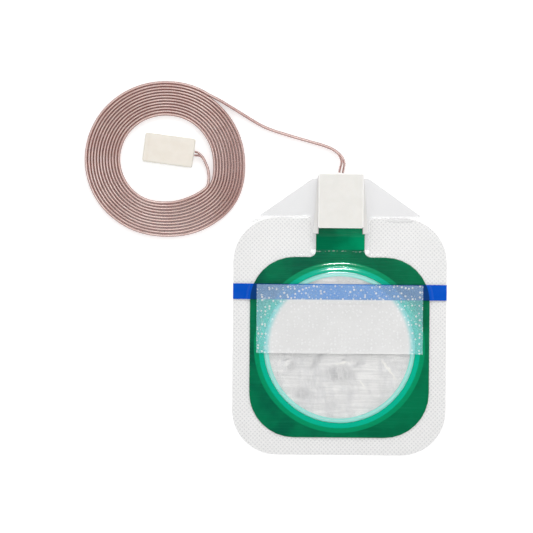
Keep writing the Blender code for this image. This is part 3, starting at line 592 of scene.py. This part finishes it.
def green_print():
    """Green ink, lighter in two rings round the window under the walls of the liner's dome, a painted
    reflection of the raised film.
    """
    material, tree, shader = new_finish("green printed film")
    place = object_place(tree)
    lines, clouds = add_streaks(tree, place, 0.0011)
    across, up = split_axes(tree, place)[:2]
    radius = from_middle(tree, place)
    side = fade(tree, across, -0.06, 0.06)
    tint = blend_colours(tree, side, (0.0005, 0.115, 0.060, 1), (0.0005, 0.150, 0.062, 1))
    ink = blend_colours(tree, fade(tree, clouds, 0.35, 0.65, 0.0, 0.8), tint, (0.0005, 0.205, 0.085, 1))
    streaked = blend_colours(tree, fade(tree, lines, 0.45, 0.75, 0.0, 0.12), ink, (0.001, 0.30, 0.14, 1))
    neck = fade(tree, up, SLIT_Y, SLIT_Y + 0.0006)
    drift = fade(tree, calculate(tree, "ADD", clouds, calculate(tree, "MULTIPLY", across, 20.0)), 0.3, 0.75)
    smooth = blend_colours(tree, drift, (0.0005, 0.15, 0.065, 1), (0.0005, 0.29, 0.125, 1))
    field = blend_colours(tree, neck, streaked, smooth)
    # painted reflection: the ink lighter under the two walls of the liner's dome
    outer = fade(tree, radius, DOME_FOOT_RADIUS - 0.0002, DOME_FOOT_RADIUS + 0.0004, 1.0, 0.0)
    inner = fade(tree, radius, DOME_STEP_RADIUS - 0.0003, DOME_STEP_RADIUS + 0.0003, 1.0, 0.0)
    with_outer_ring_light = blend_colours(tree, outer, field, (0.001, 0.315, 0.135, 1))
    bright = blend_colours(tree, inner, with_outer_ring_light, (0.001, 0.50, 0.315, 1))
    set_sockets(tree, shader, {
        "Base Color": bright, "Roughness": fade(tree, lines, 0.3, 0.7, 0.2, 0.3),
        "Specular IOR Level": 0.04,
    })
    raise_surface(tree, shader, calculate(tree, "ADD", lines, clouds), 0.00008)
    return material


dress_node("green_mask", green_print())


# Gel
# A disc of clear, sticky conductive gel cast into the window. Its rim is rounded and
# picks up the green round it.
GEL_BOTTOM = 0.0014
GEL_THICKNESS = 0.0008
GEL_EDGE = 0.0003
RIM_RING = 0.0462
ROUND_STEPS = 144


def clear_gel():
    """Nearly clear, cloudier in its cast rim, whose mint tint is a painted reflection of the green round
    it, with a painted highlight line.
    """
    material, tree, shader = new_finish("clear gel")
    place = object_place(tree)
    radius = from_middle(tree, place)
    lines, clouds = add_streaks(tree, place, 0.0015)
    rim = fade(tree, radius, RIM_RING - 0.0003, RIM_RING + 0.0002)
    # painted highlight: a brighter line round the rim
    rim_highlight = calculate(tree, "MULTIPLY", fade(tree, radius, RIM_RING + 0.0008, RIM_RING + 0.0012),
                      fade(tree, radius, RIM_RING + 0.0013, RIM_RING + 0.0018, 1.0, 0.0))
    # cloudy rim tinted mint: partly the gel's haze, partly a painted reflection of the green round it
    colour = blend_colours(tree, rim, (0.95, 0.95, 0.94, 1), (0.40, 0.97, 0.88, 1))
    with_rim_highlight = blend_colours(tree, calculate(tree, "MULTIPLY", rim_highlight, 0.6), colour, (0.85, 1.0, 0.97, 1))
    body = fade(tree, clouds, 0.3, 0.7, 0.03, 0.10)
    alpha = calculate(tree, "MAXIMUM", body, calculate(tree, "MULTIPLY", rim, 0.68))
    set_sockets(tree, shader, {
        "Base Color": with_rim_highlight, "Alpha": alpha, "Roughness": fade(tree, lines, 0.3, 0.7, 0.1, 0.22),
    })
    raise_surface(tree, shader, clouds, 0.0003)
    return material


gel_bm = bmesh.new()
bmesh.ops.create_circle(gel_bm, cap_ends=True, segments=ROUND_STEPS, radius=GEL_RADIUS)
bmesh.ops.translate(gel_bm, vec=(0, PLATE_MIDDLE, GEL_BOTTOM), verts=gel_bm.verts)
gel_top = thicken(gel_bm, GEL_THICKNESS)
round_rim(gel_bm, gel_top, GEL_EDGE)
add_piece("gel", gel_bm, clear_gel(), ("gel_disc",))


# Release liner
# A clear formed film over the sticky side: domed over the gel, stepped over the plate,
# with a tab that runs down onto the table and under the clamp. A slit lets the neck
# through.
LINER_THICKNESS = 0.0003
MARGIN_Z = 0.0010
PLATE_Z = 0.0018
STEP_Z = 0.0021
GEL_Z = 0.0024
PLATE_WIDTH = 0.1166
PLATE_LENGTH = 0.1172
PLATE_CORNER = 0.029
PLATE_FOOT = PLATE_MIDDLE - PLATE_LENGTH / 2
PLATE_HEAD = PLATE_MIDDLE + PLATE_LENGTH / 2
NECK_HALF = 0.0158
NECK_FILLET = 0.004
STEP_START = 0.0002
STEP_WIDTH = 0.0013
FALL_GAP = 0.0002
FALL_START = PAD_HEAD + FALL_GAP
FALL_WIDTH = 0.0006
SLIT_HALF = 0.0002
SLIT_LIP = 0.0007
TAB_HEAD = 0.0882
TAB_HALF = 0.0185
TAB_SLOPE = math.radians(35.4)
TAB_CORNER = 0.005
TAB_BULGE = 0.032
# two creases where the film meets the backing's head edge, milky and with a painted highlight: the middle,
# the half sizes and the turn of each
TAB_CREASE_GLINTS = (((0.0390, 0.0612), (0.0112, 0.0012), 0.0), ((-0.0552, 0.0606), (0.0052, 0.0009), 0.35))
TAB_SHOULDER = TAB_HEAD - (PAD_WIDTH / 2 - TAB_HALF) * math.tan(TAB_SLOPE)
PROFILE_STEPS = 6
EASE = 0.0007
TAB_HAZE = 0.13
MARGIN_HAZE = 0.002
PLATE_HAZE = 0.001


def plate_chain(grow, height):
    """Open line round the plate and up the neck to the slit, the plate grown by a margin."""
    half = [
        (PLATE_WIDTH / 2 + grow, PLATE_FOOT - grow, PLATE_CORNER + grow),
        (PLATE_WIDTH / 2 + grow, PLATE_HEAD + grow, PLATE_CORNER + grow),
        (NECK_HALF + grow, PLATE_HEAD + grow, NECK_FILLET - grow),
        (NECK_HALF + grow, SLIT_Y - SLIT_HALF, 0),
    ]
    points = rounded_outline(half)
    right = min(range(len(points)), key=lambda i: (points[i] - Vector((*half[3][:2], 0))).length)
    ordered = points[right:] + points[:right]
    if abs(ordered[1].y - ordered[0].y) < WELD:
        ordered = [ordered[0]] + ordered[:0:-1]
    return [Vector((p.x, p.y, height)) for p in ordered]


def add_line(bm, points):
    verts = [bm.verts.new(p) for p in points]
    return [bm.edges.new(pair) for pair in zip(verts, verts[1:])]


def bridge_lines(bm, lines):
    for a, b in zip(lines, lines[1:]):
        bmesh.ops.bridge_loops(bm, edges=a + b)


def fill_face(bm, points):
    """Flat cover inside one ring of places."""
    face = bm.faces.new([bm.verts.new(p) for p in points])
    bmesh.ops.triangulate(bm, faces=[face])


def between(a, b, share):
    """A line between two others, its height following a soft step."""
    return [Vector((*p.lerp(q, share).xy, p.z + (q.z - p.z) * soft_step(share))) for p, q in zip(a, b)]


def cross_at(outline, y):
    """Right side of the outline at this Y."""
    found = 0
    for a, b in zip(outline, outline[1:] + outline[:1]):
        if min(a.y, b.y) <= y <= max(a.y, b.y) and abs(a.y - b.y) > 1e-9:
            found = max(found, a.x + (b.x - a.x) * (y - a.y) / (b.y - a.y))
    return found


def mirrored(points):
    return [Vector((-p.x, p.y, p.z)) for p in points]


liner_outline = rounded_outline([
    (PAD_WIDTH / 2, PAD_FOOT, PAD_CORNER), (PAD_WIDTH / 2, TAB_SHOULDER, TAB_BULGE),
    (TAB_HALF, TAB_HEAD, TAB_CORNER),
], steps=16)
liner_bm = bmesh.new()

# the formed step round the plate
steps = [plate_chain(STEP_START, PLATE_Z), plate_chain(STEP_START + STEP_WIDTH, MARGIN_Z)]
chains = [between(*steps, i / PROFILE_STEPS) for i in range(PROFILE_STEPS + 1)]
inner_chain = plate_chain(STEP_START - EASE, PLATE_Z)
outer_chain = plate_chain(STEP_START + STEP_WIDTH + EASE, MARGIN_Z)
chains = [inner_chain] + chains + [outer_chain]
bridge_lines(liner_bm, [add_line(liner_bm, chain) for chain in chains])

# the dome: its flat top and two walls that run out softly
rings = [(GEL_RADIUS - EASE, GEL_Z)]
dome_steps = [(GEL_RADIUS, GEL_Z), (DOME_STEP_RADIUS, STEP_Z), (DOME_FOOT_RADIUS, PLATE_Z)]
for (r_in, z_in), (r_out, z_out) in zip(dome_steps, dome_steps[1:]):
    for share in np.linspace(0, 1, 2 * PROFILE_STEPS + 1):
        rings.append((r_in + (r_out - r_in) * share,
                      z_in + (z_out - z_in) * math.sin(share * math.pi / 2)))
rings.append((DOME_FOOT_RADIUS + EASE, PLATE_Z))
wall = add_line(liner_bm, [Vector((radius, PLATE_MIDDLE, height))
                           for radius, height in dict.fromkeys(rings)])
wall_verts = list(dict.fromkeys(v for edge in wall for v in edge.verts))
bmesh.ops.spin(liner_bm, geom=wall_verts + wall, cent=(0, PLATE_MIDDLE, 0), axis=(0, 0, 1),
               angle=2 * math.pi, steps=ROUND_STEPS, use_merge=True)


def dome_ring(radius, height):
    """Places round the dome from its foot side to the right, the first once more at the end."""
    return [Vector((radius * math.sin(a), PLATE_MIDDLE - radius * math.cos(a), height))
            for a in np.linspace(0, 2 * math.pi, ROUND_STEPS + 1)]


fill_face(liner_bm, dome_ring(*rings[0])[:-1])

# the flat over the plate round the dome, in a right and a left half
foot_ring = dome_ring(*rings[-1])
top = ROUND_STEPS // 2
split = max(i for i, p in enumerate(inner_chain) if p.x > 0)
fill_face(liner_bm, foot_ring[:top + 1] + inner_chain[:split + 1])
fill_face(liner_bm, foot_ring[top:] + inner_chain[split:] + inner_chain[:1])


def fall_line(width, height):
    """Right half of a line so far outside the backing's head edge and down its notch."""
    y = FALL_START + width
    edge_in = NOTCH_HALF - FALL_GAP
    turn = Vector((edge_in + NOTCH_CORNER, FALL_START - NOTCH_CORNER, height))
    arc = [turn + (NOTCH_CORNER + width) * Vector((-math.sin(a), math.cos(a), 0))
           for a in np.linspace(0, math.pi / 2, 8)]
    end_y = SLIT_Y + (SLIT_HALF if width > 0 else -SLIT_HALF)
    start, end = Vector((cross_at(liner_outline, y), y, height)), Vector((edge_in - width, end_y, height))
    return [start] + arc + [end]


# the falls onto the table on both sides of the neck
high = fall_line(0, MARGIN_Z)
low = fall_line(FALL_WIDTH, 0)
margin_head = fall_line(-EASE, MARGIN_Z)
tab_foot = fall_line(FALL_WIDTH + EASE, 0)
right_falls = [between(high, low, i / PROFILE_STEPS) for i in range(PROFILE_STEPS + 1)]
right_falls = [margin_head] + right_falls + [tab_foot]
for falls in (right_falls, [mirrored(fall) for fall in right_falls]):
    bridge_lines(liner_bm, [add_line(liner_bm, fall) for fall in falls])

# the margin round the plate, and the tab
outline_right = [p for p in liner_outline if p.x > 0]
foot_right = sorted([p for p in outline_right if p.y < margin_head[0].y - WELD],
                    key=lambda p: math.atan2(p.y - PLATE_MIDDLE, p.x), reverse=True)
foot_round = foot_right + mirrored(reversed(foot_right))
margin = margin_head[::-1] + foot_round + mirrored(margin_head) + outer_chain[::-1]
fill_face(liner_bm, [Vector((p.x, p.y, MARGIN_Z)) for p in margin])
tab_right = tab_foot[::-1] + sorted([p for p in outline_right if p.y > tab_foot[0].y + WELD],
                                    key=lambda p: p.y)
fill_face(liner_bm, tab_right + mirrored(reversed(tab_right)))
bmesh.ops.remove_doubles(liner_bm, verts=liner_bm.verts, dist=2 * WELD)

# how hazy the film is in each stretch, and where it is bent, whitened there partly by scattering and partly
# as a painted highlight
haze = liner_bm.verts.layers.float.new("haze")
bend_glint = liner_bm.verts.layers.float.new("bend_glint")
for vert in liner_bm.verts:
    drop = 1 - min(vert.co.z / MARGIN_Z, 1)
    on_plate = vert.co.z > (MARGIN_Z + PLATE_Z) / 2
    vert[haze] = PLATE_HAZE if on_plate else MARGIN_HAZE + (TAB_HAZE - MARGIN_HAZE) * drop
    vert[bend_glint] = 4 * drop * (1 - drop)
thicken(liner_bm, LINER_THICKNESS)


def off_plate(tree, place):
    """How far a place lies outside the plate's outline, seen from above."""
    middle = calculate_vector(tree, "SUBTRACT", place, (0, PLATE_MIDDLE, 0))
    straight = (PLATE_WIDTH / 2 - PLATE_CORNER, PLATE_LENGTH / 2 - PLATE_CORNER, 0)
    beyond = calculate_vector(tree, "SUBTRACT", calculate_vector(tree, "ABSOLUTE", middle), straight)
    reach = length_above(tree, calculate_vector(tree, "MAXIMUM", beyond))
    return calculate(tree, "SUBTRACT", reach, PLATE_CORNER)


def liner_film():
    """Clear film: a little grey where it is alone, whitened where it turns down, partly by scattering and
    partly as a painted highlight, with painted highlights on two creases at the backing's head.
    """
    material, tree, shader = new_finish("clear liner film")
    place = object_place(tree)
    lines, clouds = add_streaks(tree, place, 0.0013)
    haze = add_node(tree, "Attribute", attribute_name="haze").outputs["Fac"]
    bend_glint = add_node(tree, "Attribute", attribute_name="bend_glint").outputs["Fac"]
    across, up = split_axes(tree, place)[:2]
    wave = calculate(tree, "MULTIPLY", calculate(tree, "SUBTRACT", clouds, 0.5), 0.004)
    lip = calculate(tree, "SUBTRACT", up, calculate(tree, "ADD", wave, SLIT_Y - SLIT_LIP))
    trapped = fade(tree, calculate(tree, "ABSOLUTE", lip), 0.0001, 0.0004, 1.0, 0.0)
    broken = fade(tree, noise(tree, stretched(tree, place, (1.0, 0.4, 0.0)), 700.0, 2.0), 0.48, 0.60)
    aside = calculate(tree, "ABSOLUTE", across)
    on_neck = fade(tree, aside, NECK_HALF - 0.0002, NECK_HALF, 1.0, 0.0)
    bubbles = calculate(tree, "MULTIPLY", calculate(tree, "MULTIPLY", trapped, broken), on_neck)
    # painted highlights on the creases at the backing's head edge
    creases = soft_patches(tree, place, TAB_CREASE_GLINTS, 0.6)
    # whitening where the film turns down: partly scattering, partly a painted highlight
    bent_glint = calculate(tree, "MULTIPLY", bend_glint, fade(tree, clouds, 0.35, 0.6, 0.4, 1.0))
    lifted = calculate(tree, "MAXIMUM", calculate(tree, "MULTIPLY", bubbles, 0.4), creases)
    milk_and_glint = calculate(tree, "MAXIMUM", bent_glint, lifted)
    milk_and_glint_tone = fade(tree, milk_and_glint, 0.0, 0.15)
    colour = blend_colours(tree, milk_and_glint_tone, (0.30, 0.30, 0.32, 1), (0.98, 0.98, 0.98, 1))
    alpha = calculate(tree, "MAXIMUM", haze, calculate(tree, "MULTIPLY", milk_and_glint, 0.5))
    set_sockets(tree, shader, {"Base Color": colour, "Alpha": alpha, "Roughness": 0.12})
    height = calculate(tree, "ADD", clouds, calculate(tree, "MULTIPLY", lines, 0.06))
    raise_surface(tree, shader, height, 0.00004)
    gloss_over(tree, shader, 0.07)
    return material


add_piece("liner", liner_bm, liner_film(), ("release_liner",))


# Tapes
# A printed blue tape runs right across the liner, and a shorter frosted one lies over
# it. They stick to the liner and bridge its steps.
BLUE_FOOT = 0.0095
BLUE_HEAD = 0.0196
FROSTED_WIDTH = 0.1080
FROSTED_FOOT = -0.0255
FROSTED_HEAD = 0.0191
TAPE_THICKNESS = 0.0002
TAPE_GAP = 0.0002
TAPE_CELL = 0.0009


def liner_top(x, y, slack):
    """Height of the liner's upper face, its steps moved outwards by the slack."""
    corner_x = max(abs(x) - (PLATE_WIDTH / 2 - PLATE_CORNER), 0)
    corner_y = max(abs(y - PLATE_MIDDLE) - (PLATE_LENGTH / 2 - PLATE_CORNER), 0)
    outside = math.hypot(corner_x, corner_y) - PLATE_CORNER - slack
    centred = math.hypot(x, y - PLATE_MIDDLE) - slack

    def eased(value, start, end, high_z, low_z):
        share = min(max((value - start) / (end - start), 0), 1)
        return high_z + (low_z - high_z) * soft_step(share)

    plate = eased(outside, STEP_START, STEP_START + STEP_WIDTH, PLATE_Z, MARGIN_Z)
    if centred < DOME_STEP_RADIUS:
        dome = eased(centred, GEL_RADIUS, DOME_STEP_RADIUS, GEL_Z, STEP_Z)
    else:
        dome = eased(centred, DOME_STEP_RADIUS, DOME_FOOT_RADIUS, STEP_Z, PLATE_Z)
    return (max(plate, dome) if centred < DOME_FOOT_RADIUS else plate) + LINER_THICKNESS


def tape_mesh(width, foot, head, height):
    """A strip of tape that follows the heights below it."""
    bm = bmesh.new()
    bmesh.ops.create_grid(bm, x_segments=round(width / TAPE_CELL),
                          y_segments=round((head - foot) / TAPE_CELL), size=0.5)
    bmesh.ops.scale(bm, vec=(width, head - foot, 1), verts=bm.verts)
    bmesh.ops.translate(bm, vec=(0, (foot + head) / 2, 0), verts=bm.verts)
    for vert in bm.verts:
        vert.co.z = height(vert.co.x, vert.co.y)
    thicken(bm, TAPE_THICKNESS)
    return bm


def blue_height(x, y):
    return liner_top(x, y, 1.5 * TAPE_CELL) + TAPE_GAP


def frosted_height(x, y):
    """Height over the liner, and from a little before the blue tape over that."""
    over = min(max((y - BLUE_FOOT) / (2 * TAPE_CELL) + 2, 0), 1)
    return liner_top(x, y, 3 * TAPE_CELL) + TAPE_GAP + soft_step(over) * (TAPE_THICKNESS + TAPE_GAP)


def blue_ink():
    """Clear tape printed blue: bright over white, dark over the green film."""
    material, tree, shader = new_finish("blue printed tape")
    place = object_place(tree)
    lines, clouds = add_streaks(tree, place, 0.0012)
    radius = from_middle(tree, place)
    over_green = fade(tree, off_plate(tree, place), -0.0002, 0.0002, 1.0, 0.0)
    cloudy = fade(tree, clouds, 0.3, 0.7)
    bright = blend_colours(tree, cloudy, (0.0, 0.082, 0.55, 1), (0.001, 0.098, 0.62, 1))
    navy = blend_colours(tree, over_green, bright, (0.001, 0.042, 0.19, 1))
    over_ring = fade(tree, radius, DOME_STEP_RADIUS - 0.0004, DOME_STEP_RADIUS + 0.0004, 1.0, 0.0)
    ring = blend_colours(tree, over_ring, navy, (0.001, 0.13, 0.40, 1))
    over_disc = fade(tree, radius, RIM_RING - 0.0006, RIM_RING + 0.0006, 1.0, 0.0)
    full = blend_colours(tree, over_disc, ring, (0.001, 0.19, 0.62, 1))
    set_sockets(tree, shader, {
        "Base Color": full, "Alpha": 0.97, "Roughness": fade(tree, lines, 0.3, 0.7, 0.14, 0.2),
        "Specular IOR Level": 0.2,
    })
    raise_surface(tree, shader, clouds, 0.0002)
    return material


def frosted_film():
    """Hazy tape with small trapped bubbles."""
    material, tree, shader = new_finish("frosted tape")
    place = object_place(tree)
    lines, clouds = add_streaks(tree, place, 0.0010)
    cells = add_node(tree, "TexVoronoi", {"Vector": place, "Scale": 420.0, "Randomness": 0.9},
                     feature="F1", voronoi_dimensions="2D")
    size = add_node(tree, "SeparateColor", {0: cells.outputs["Color"]}).outputs[0]
    reach = fade(tree, size, 0.2, 1.0, 0.08, 0.33)
    bubbles = fade(tree, calculate(tree, "SUBTRACT", reach, cells.outputs["Distance"]), -0.04, 0.12)
    smears = fade(tree, noise(tree, place, 260.0, 4.0, 0.6), 0.58, 0.72)
    over_disc = fade(tree, from_middle(tree, place), RIM_RING - 0.002, GEL_RADIUS, 1.0, 0.0)
    over_blue = fade(tree, split_axes(tree, place)[1], BLUE_FOOT - 0.0003, BLUE_FOOT + 0.0003)
    on_disc = calculate(tree, "MULTIPLY", over_disc, calculate(tree, "SUBTRACT", 1.0, over_blue))
    spots = calculate(tree, "MULTIPLY", fade(tree, on_disc, 0.0, 1.0, 1.0, 0.4),
                      calculate(tree, "MAXIMUM", bubbles, calculate(tree, "MULTIPLY", smears, 0.5)))
    below = blend_colours(tree, over_disc, (0.43, 0.94, 1.0, 1), (1.0, 1.0, 0.995, 1))
    hazy = blend_colours(tree, over_blue, below, (0.50, 0.74, 1.0, 1))
    colour = blend_colours(tree, spots, hazy, (0.97, 0.98, 0.99, 1))
    haze = fade(tree, clouds, 0.3, 0.7, 0.23, 0.29)
    thick = calculate(tree, "ADD", haze, calculate(tree, "MULTIPLY", on_disc, 0.30))
    alpha = calculate(tree, "ADD", thick, calculate(tree, "MULTIPLY", spots, 0.26))
    set_sockets(tree, shader, {
        "Base Color": colour, "Alpha": alpha, "Roughness": 0.5, "Specular IOR Level": 0.1,
    })
    height = calculate(tree, "ADD", spots, calculate(tree, "MULTIPLY", lines, 0.3))
    raise_surface(tree, shader, height, 0.00012)
    return material


blue_bm = tape_mesh(PAD_WIDTH, BLUE_FOOT, BLUE_HEAD, blue_height)
add_piece("blue_tape", blue_bm, blue_ink(), ("blue_strip",))
frosted_bm = tape_mesh(FROSTED_WIDTH, FROSTED_FOOT, FROSTED_HEAD, frosted_height)
add_piece("frosted_tape", frosted_bm, frosted_film(), ("frosted_strip",))


# Clamp
# Two ivory mouldings snapped together round the tongue: a base with two cheeks, and a
# plain lid with a fine satin face.
def moulding_grain():
    """Group: the fine spark-eroded grain of a mould, and faint flow marks."""
    group, given, result = new_group("moulding grain", {"Place": "Vector"},
                                     {"Grain": "Float", "Flow": "Float"})
    set_sockets(group, result, {"Grain": noise(group, given["Place"], 1900.0),
                                "Flow": noise(group, given["Place"], 160.0, 3.0)})
    return group


mould_surface = moulding_grain()


def moulded(name, light, dark, middle, half, turn, rim):
    """Fine satin plastic in two close tones, its outline from above painted in the rim's tone: a lighter
    rim for a painted highlight along the edges, a darker one for painted shade.
    """
    material, tree, shader = new_finish(name)
    place = object_place(tree)
    sockets = {"Vector": place, "Location": (*middle, 0), "Rotation": (0, 0, turn)}
    local = add_node(tree, "Mapping", sockets, vector_type="TEXTURE").outputs[0]
    apart = calculate_vector(tree, "ABSOLUTE", local)
    inside = split_axes(tree, calculate_vector(tree, "SUBTRACT", (*half, 0), apart))
    # outline mask for the rim's painted edge tone
    edge = fade(tree, calculate(tree, "MINIMUM", inside[0], inside[1]), 0.0005, 0.0009, 1.0, 0.0)
    grain, flow = add_node(tree, "Group", {"Place": place}, node_tree=mould_surface).outputs[:2]
    tone = blend_colours(tree, fade(tree, flow, 0.3, 0.7), dark, light)
    speckled = blend_colours(tree, fade(tree, grain, 0.5, 0.8, 0.0, 0.2), tone, light)
    edge_painted = blend_colours(tree, edge, speckled, rim)
    set_sockets(tree, shader, {
        "Base Color": edge_painted, "Roughness": fade(tree, grain, 0.2, 0.8, 0.38, 0.5),
        "Subsurface Weight": 0.05, "Subsurface Radius": (0.002, 0.0015, 0.001),
    })
    raise_surface(tree, shader, grain, 0.00003)
    return material


LID_FRONT = 0.0559
LID_REAR = 0.0914
LID_HALF = 0.0147
BASE_FRONT = 0.0525
BASE_REAR = 0.0904
BASE_HALF = 0.0177
# painted shade: the base is the lid's ivory darkened, as its cheeks lie lower beside the lid; its slightly
# lighter rim is a painted highlight
shaded_base_ivory = moulded(
    "clamp base ivory in painted shade", light=(0.77, 0.76, 0.745, 1), dark=(0.74, 0.73, 0.715, 1),
    middle=(0, (BASE_FRONT + BASE_REAR) / 2), half=(BASE_HALF, (BASE_REAR - BASE_FRONT) / 2),
    turn=0.0, rim=(0.80, 0.79, 0.775, 1))
# the lid's near-white rim is a painted highlight along its edges
lid_ivory = moulded(
    "clamp lid ivory", light=(0.84, 0.825, 0.79, 1), dark=(0.81, 0.795, 0.755, 1),
    middle=(0, (LID_FRONT + LID_REAR) / 2), half=(LID_HALF, (LID_REAR - LID_FRONT) / 2),
    turn=0.0, rim=(0.97, 0.96, 0.94, 1))
dress_node("clamp_base", shaded_base_ivory)
dress_node("clamp_lid", lid_ivory)


# Contacts and cores
# Inside the clamp each core of the cord is crimped in the barrel of a tin-plated strip
# that presses on the foil. The plug holds two turned sockets on the same cores.
def tin_plate():
    """Tin-plated metal with fine drawing lines and duller patches."""
    material, tree, shader = new_finish("tin plate")
    place = object_place(tree)
    lines = noise(tree, stretched(tree, place, (1.0, 0.08, 1.0)), 3000.0, 3.0)
    patches = noise(tree, place, 700.0, 3.0)
    clean = fade(tree, patches, 0.3, 0.7)
    tone = blend_colours(tree, clean, (0.62, 0.61, 0.58, 1), (0.80, 0.79, 0.76, 1))
    set_sockets(tree, shader, {"Base Color": tone, "Metallic": 1.0,
                               "Roughness": fade(tree, lines, 0.3, 0.7, 0.22, 0.4)})
    raise_surface(tree, shader, lines, 0.00002)
    return material


def core_sleeve():
    """Clear insulation over copper strands."""
    material, tree, shader = new_finish("core insulation")
    place = object_place(tree)
    strands = noise(tree, stretched(tree, place, (1.0, 0.15, 1.0)), 4200.0, 2.0)
    bared = fade(tree, strands, 0.35, 0.65)
    tone = blend_colours(tree, bared, (0.34, 0.14, 0.09, 1), (0.74, 0.50, 0.42, 1))
    set_sockets(tree, shader, {"Base Color": tone, "Roughness": fade(tree, strands, 0.3, 0.7, 0.3, 0.42),
                               "Coat Weight": 0.6, "Coat Roughness": 0.15})
    raise_surface(tree, shader, strands, 0.00004)
    return material


plated = tin_plate()
sleeve = core_sleeve()
for side in ("left", "right"):
    dress_node("clamp_contact_" + side, plated)
    dress_node("plug_socket_" + side, plated)
    dress_node("clamp_core_" + side, sleeve)
    dress_node("plug_core_" + side, sleeve)


# Plug
# Two welded halves of a warmer ivory plastic, flat and plain, with a fine line across
# its nose.
PLUG_CENTRE = (-0.1117, 0.1056)
PLUG_TURN = math.radians(-7.0)
PLUG_LENGTH = 0.0325
PLUG_WIDTH = 0.0186
# the plug's darker rim is painted shade along its edges
plug_ivory = moulded(
    "plug ivory", light=(0.865, 0.81, 0.73, 1), dark=(0.83, 0.77, 0.685, 1),
    middle=PLUG_CENTRE, half=(PLUG_LENGTH / 2, PLUG_WIDTH / 2), turn=PLUG_TURN,
    rim=(0.80, 0.77, 0.68, 1))
dress_node("plug_base", plug_ivory)
dress_node("plug_cover", plug_ivory)


# Studio
# A white table under soft light from all round, with a dark ceiling so that the films
# keep their colour, a small lamp for the glint on the dome and a wide one for shape.
TABLE_HALF = 6.0
TABLE_DROP = 0.00005


def table_white():
    """Matt white, a little brighter to the eye than the light that it gives back."""
    material, tree, shader = new_finish("white table")
    soft = noise(tree, object_place(tree), 6.0, 2.0)
    colour = blend_colours(tree, soft, (0.79, 0.79, 0.79, 1), (0.81, 0.81, 0.81, 1))
    path = add_node(tree, "LightPath")
    seen = calculate(tree, "MAXIMUM", path.outputs["Is Camera Ray"], path.outputs["Is Glossy Ray"])
    seen = calculate(tree, "MAXIMUM", seen, path.outputs["Is Transmission Ray"])
    set_sockets(tree, shader, {
        "Base Color": colour, "Roughness": 0.9, "Specular IOR Level": 0.0,
        "Emission Color": (1, 1, 1, 1), "Emission Strength": calculate(tree, "MULTIPLY", seen, 0.42),
    })
    return material


floor_bm = bmesh.new()
bmesh.ops.create_grid(floor_bm, x_segments=1, y_segments=1, size=TABLE_HALF)
bmesh.ops.translate(floor_bm, vec=(0, 0, -TABLE_DROP), verts=floor_bm.verts)
floor_mesh = bpy.data.meshes.new("table")
floor_bm.to_mesh(floor_mesh)
floor_bm.free()
floor_mesh.materials.append(table_white())
floor = bpy.data.objects.new("table", floor_mesh)
bpy.context.scene.collection.objects.link(floor)

world = bpy.data.worlds.new("studio")
bpy.context.scene.world = world
world.use_nodes = True
sky = world.node_tree
direction = split_axes(sky, add_node(sky, "TexCoord").outputs["Generated"])
strength = fade(sky, direction[2], 0.80, 0.94, 1.0, 0.03)
set_sockets(sky, sky.nodes["Background"], {"Color": (1, 1, 1, 1), "Strength": strength})


def add_lamp(name, place, target, size, power):
    data = bpy.data.lights.new(name, "AREA")
    data.shape = "RECTANGLE"
    data.size, data.size_y = size
    data.energy = power
    lamp = bpy.data.objects.new(name, data)
    lamp.location = place
    lamp.rotation_euler = (Vector(target) - Vector(place)).to_track_quat("-Z", "Y").to_euler()
    bpy.context.scene.collection.objects.link(lamp)


add_lamp("head lamp", (0.041, 0.226, 1.35), target=(0, 0.03, 0), size=(0.09, 0.03), power=2.0)
add_lamp("side lamp", (0.1, 1.05, 0.9), target=(0, 0, 0), size=(0.8, 0.8), power=4.0)

bpy.context.scene.cycles.transparent_max_bounces = 16
view = bpy.context.scene.view_settings
view.view_transform = "Standard"
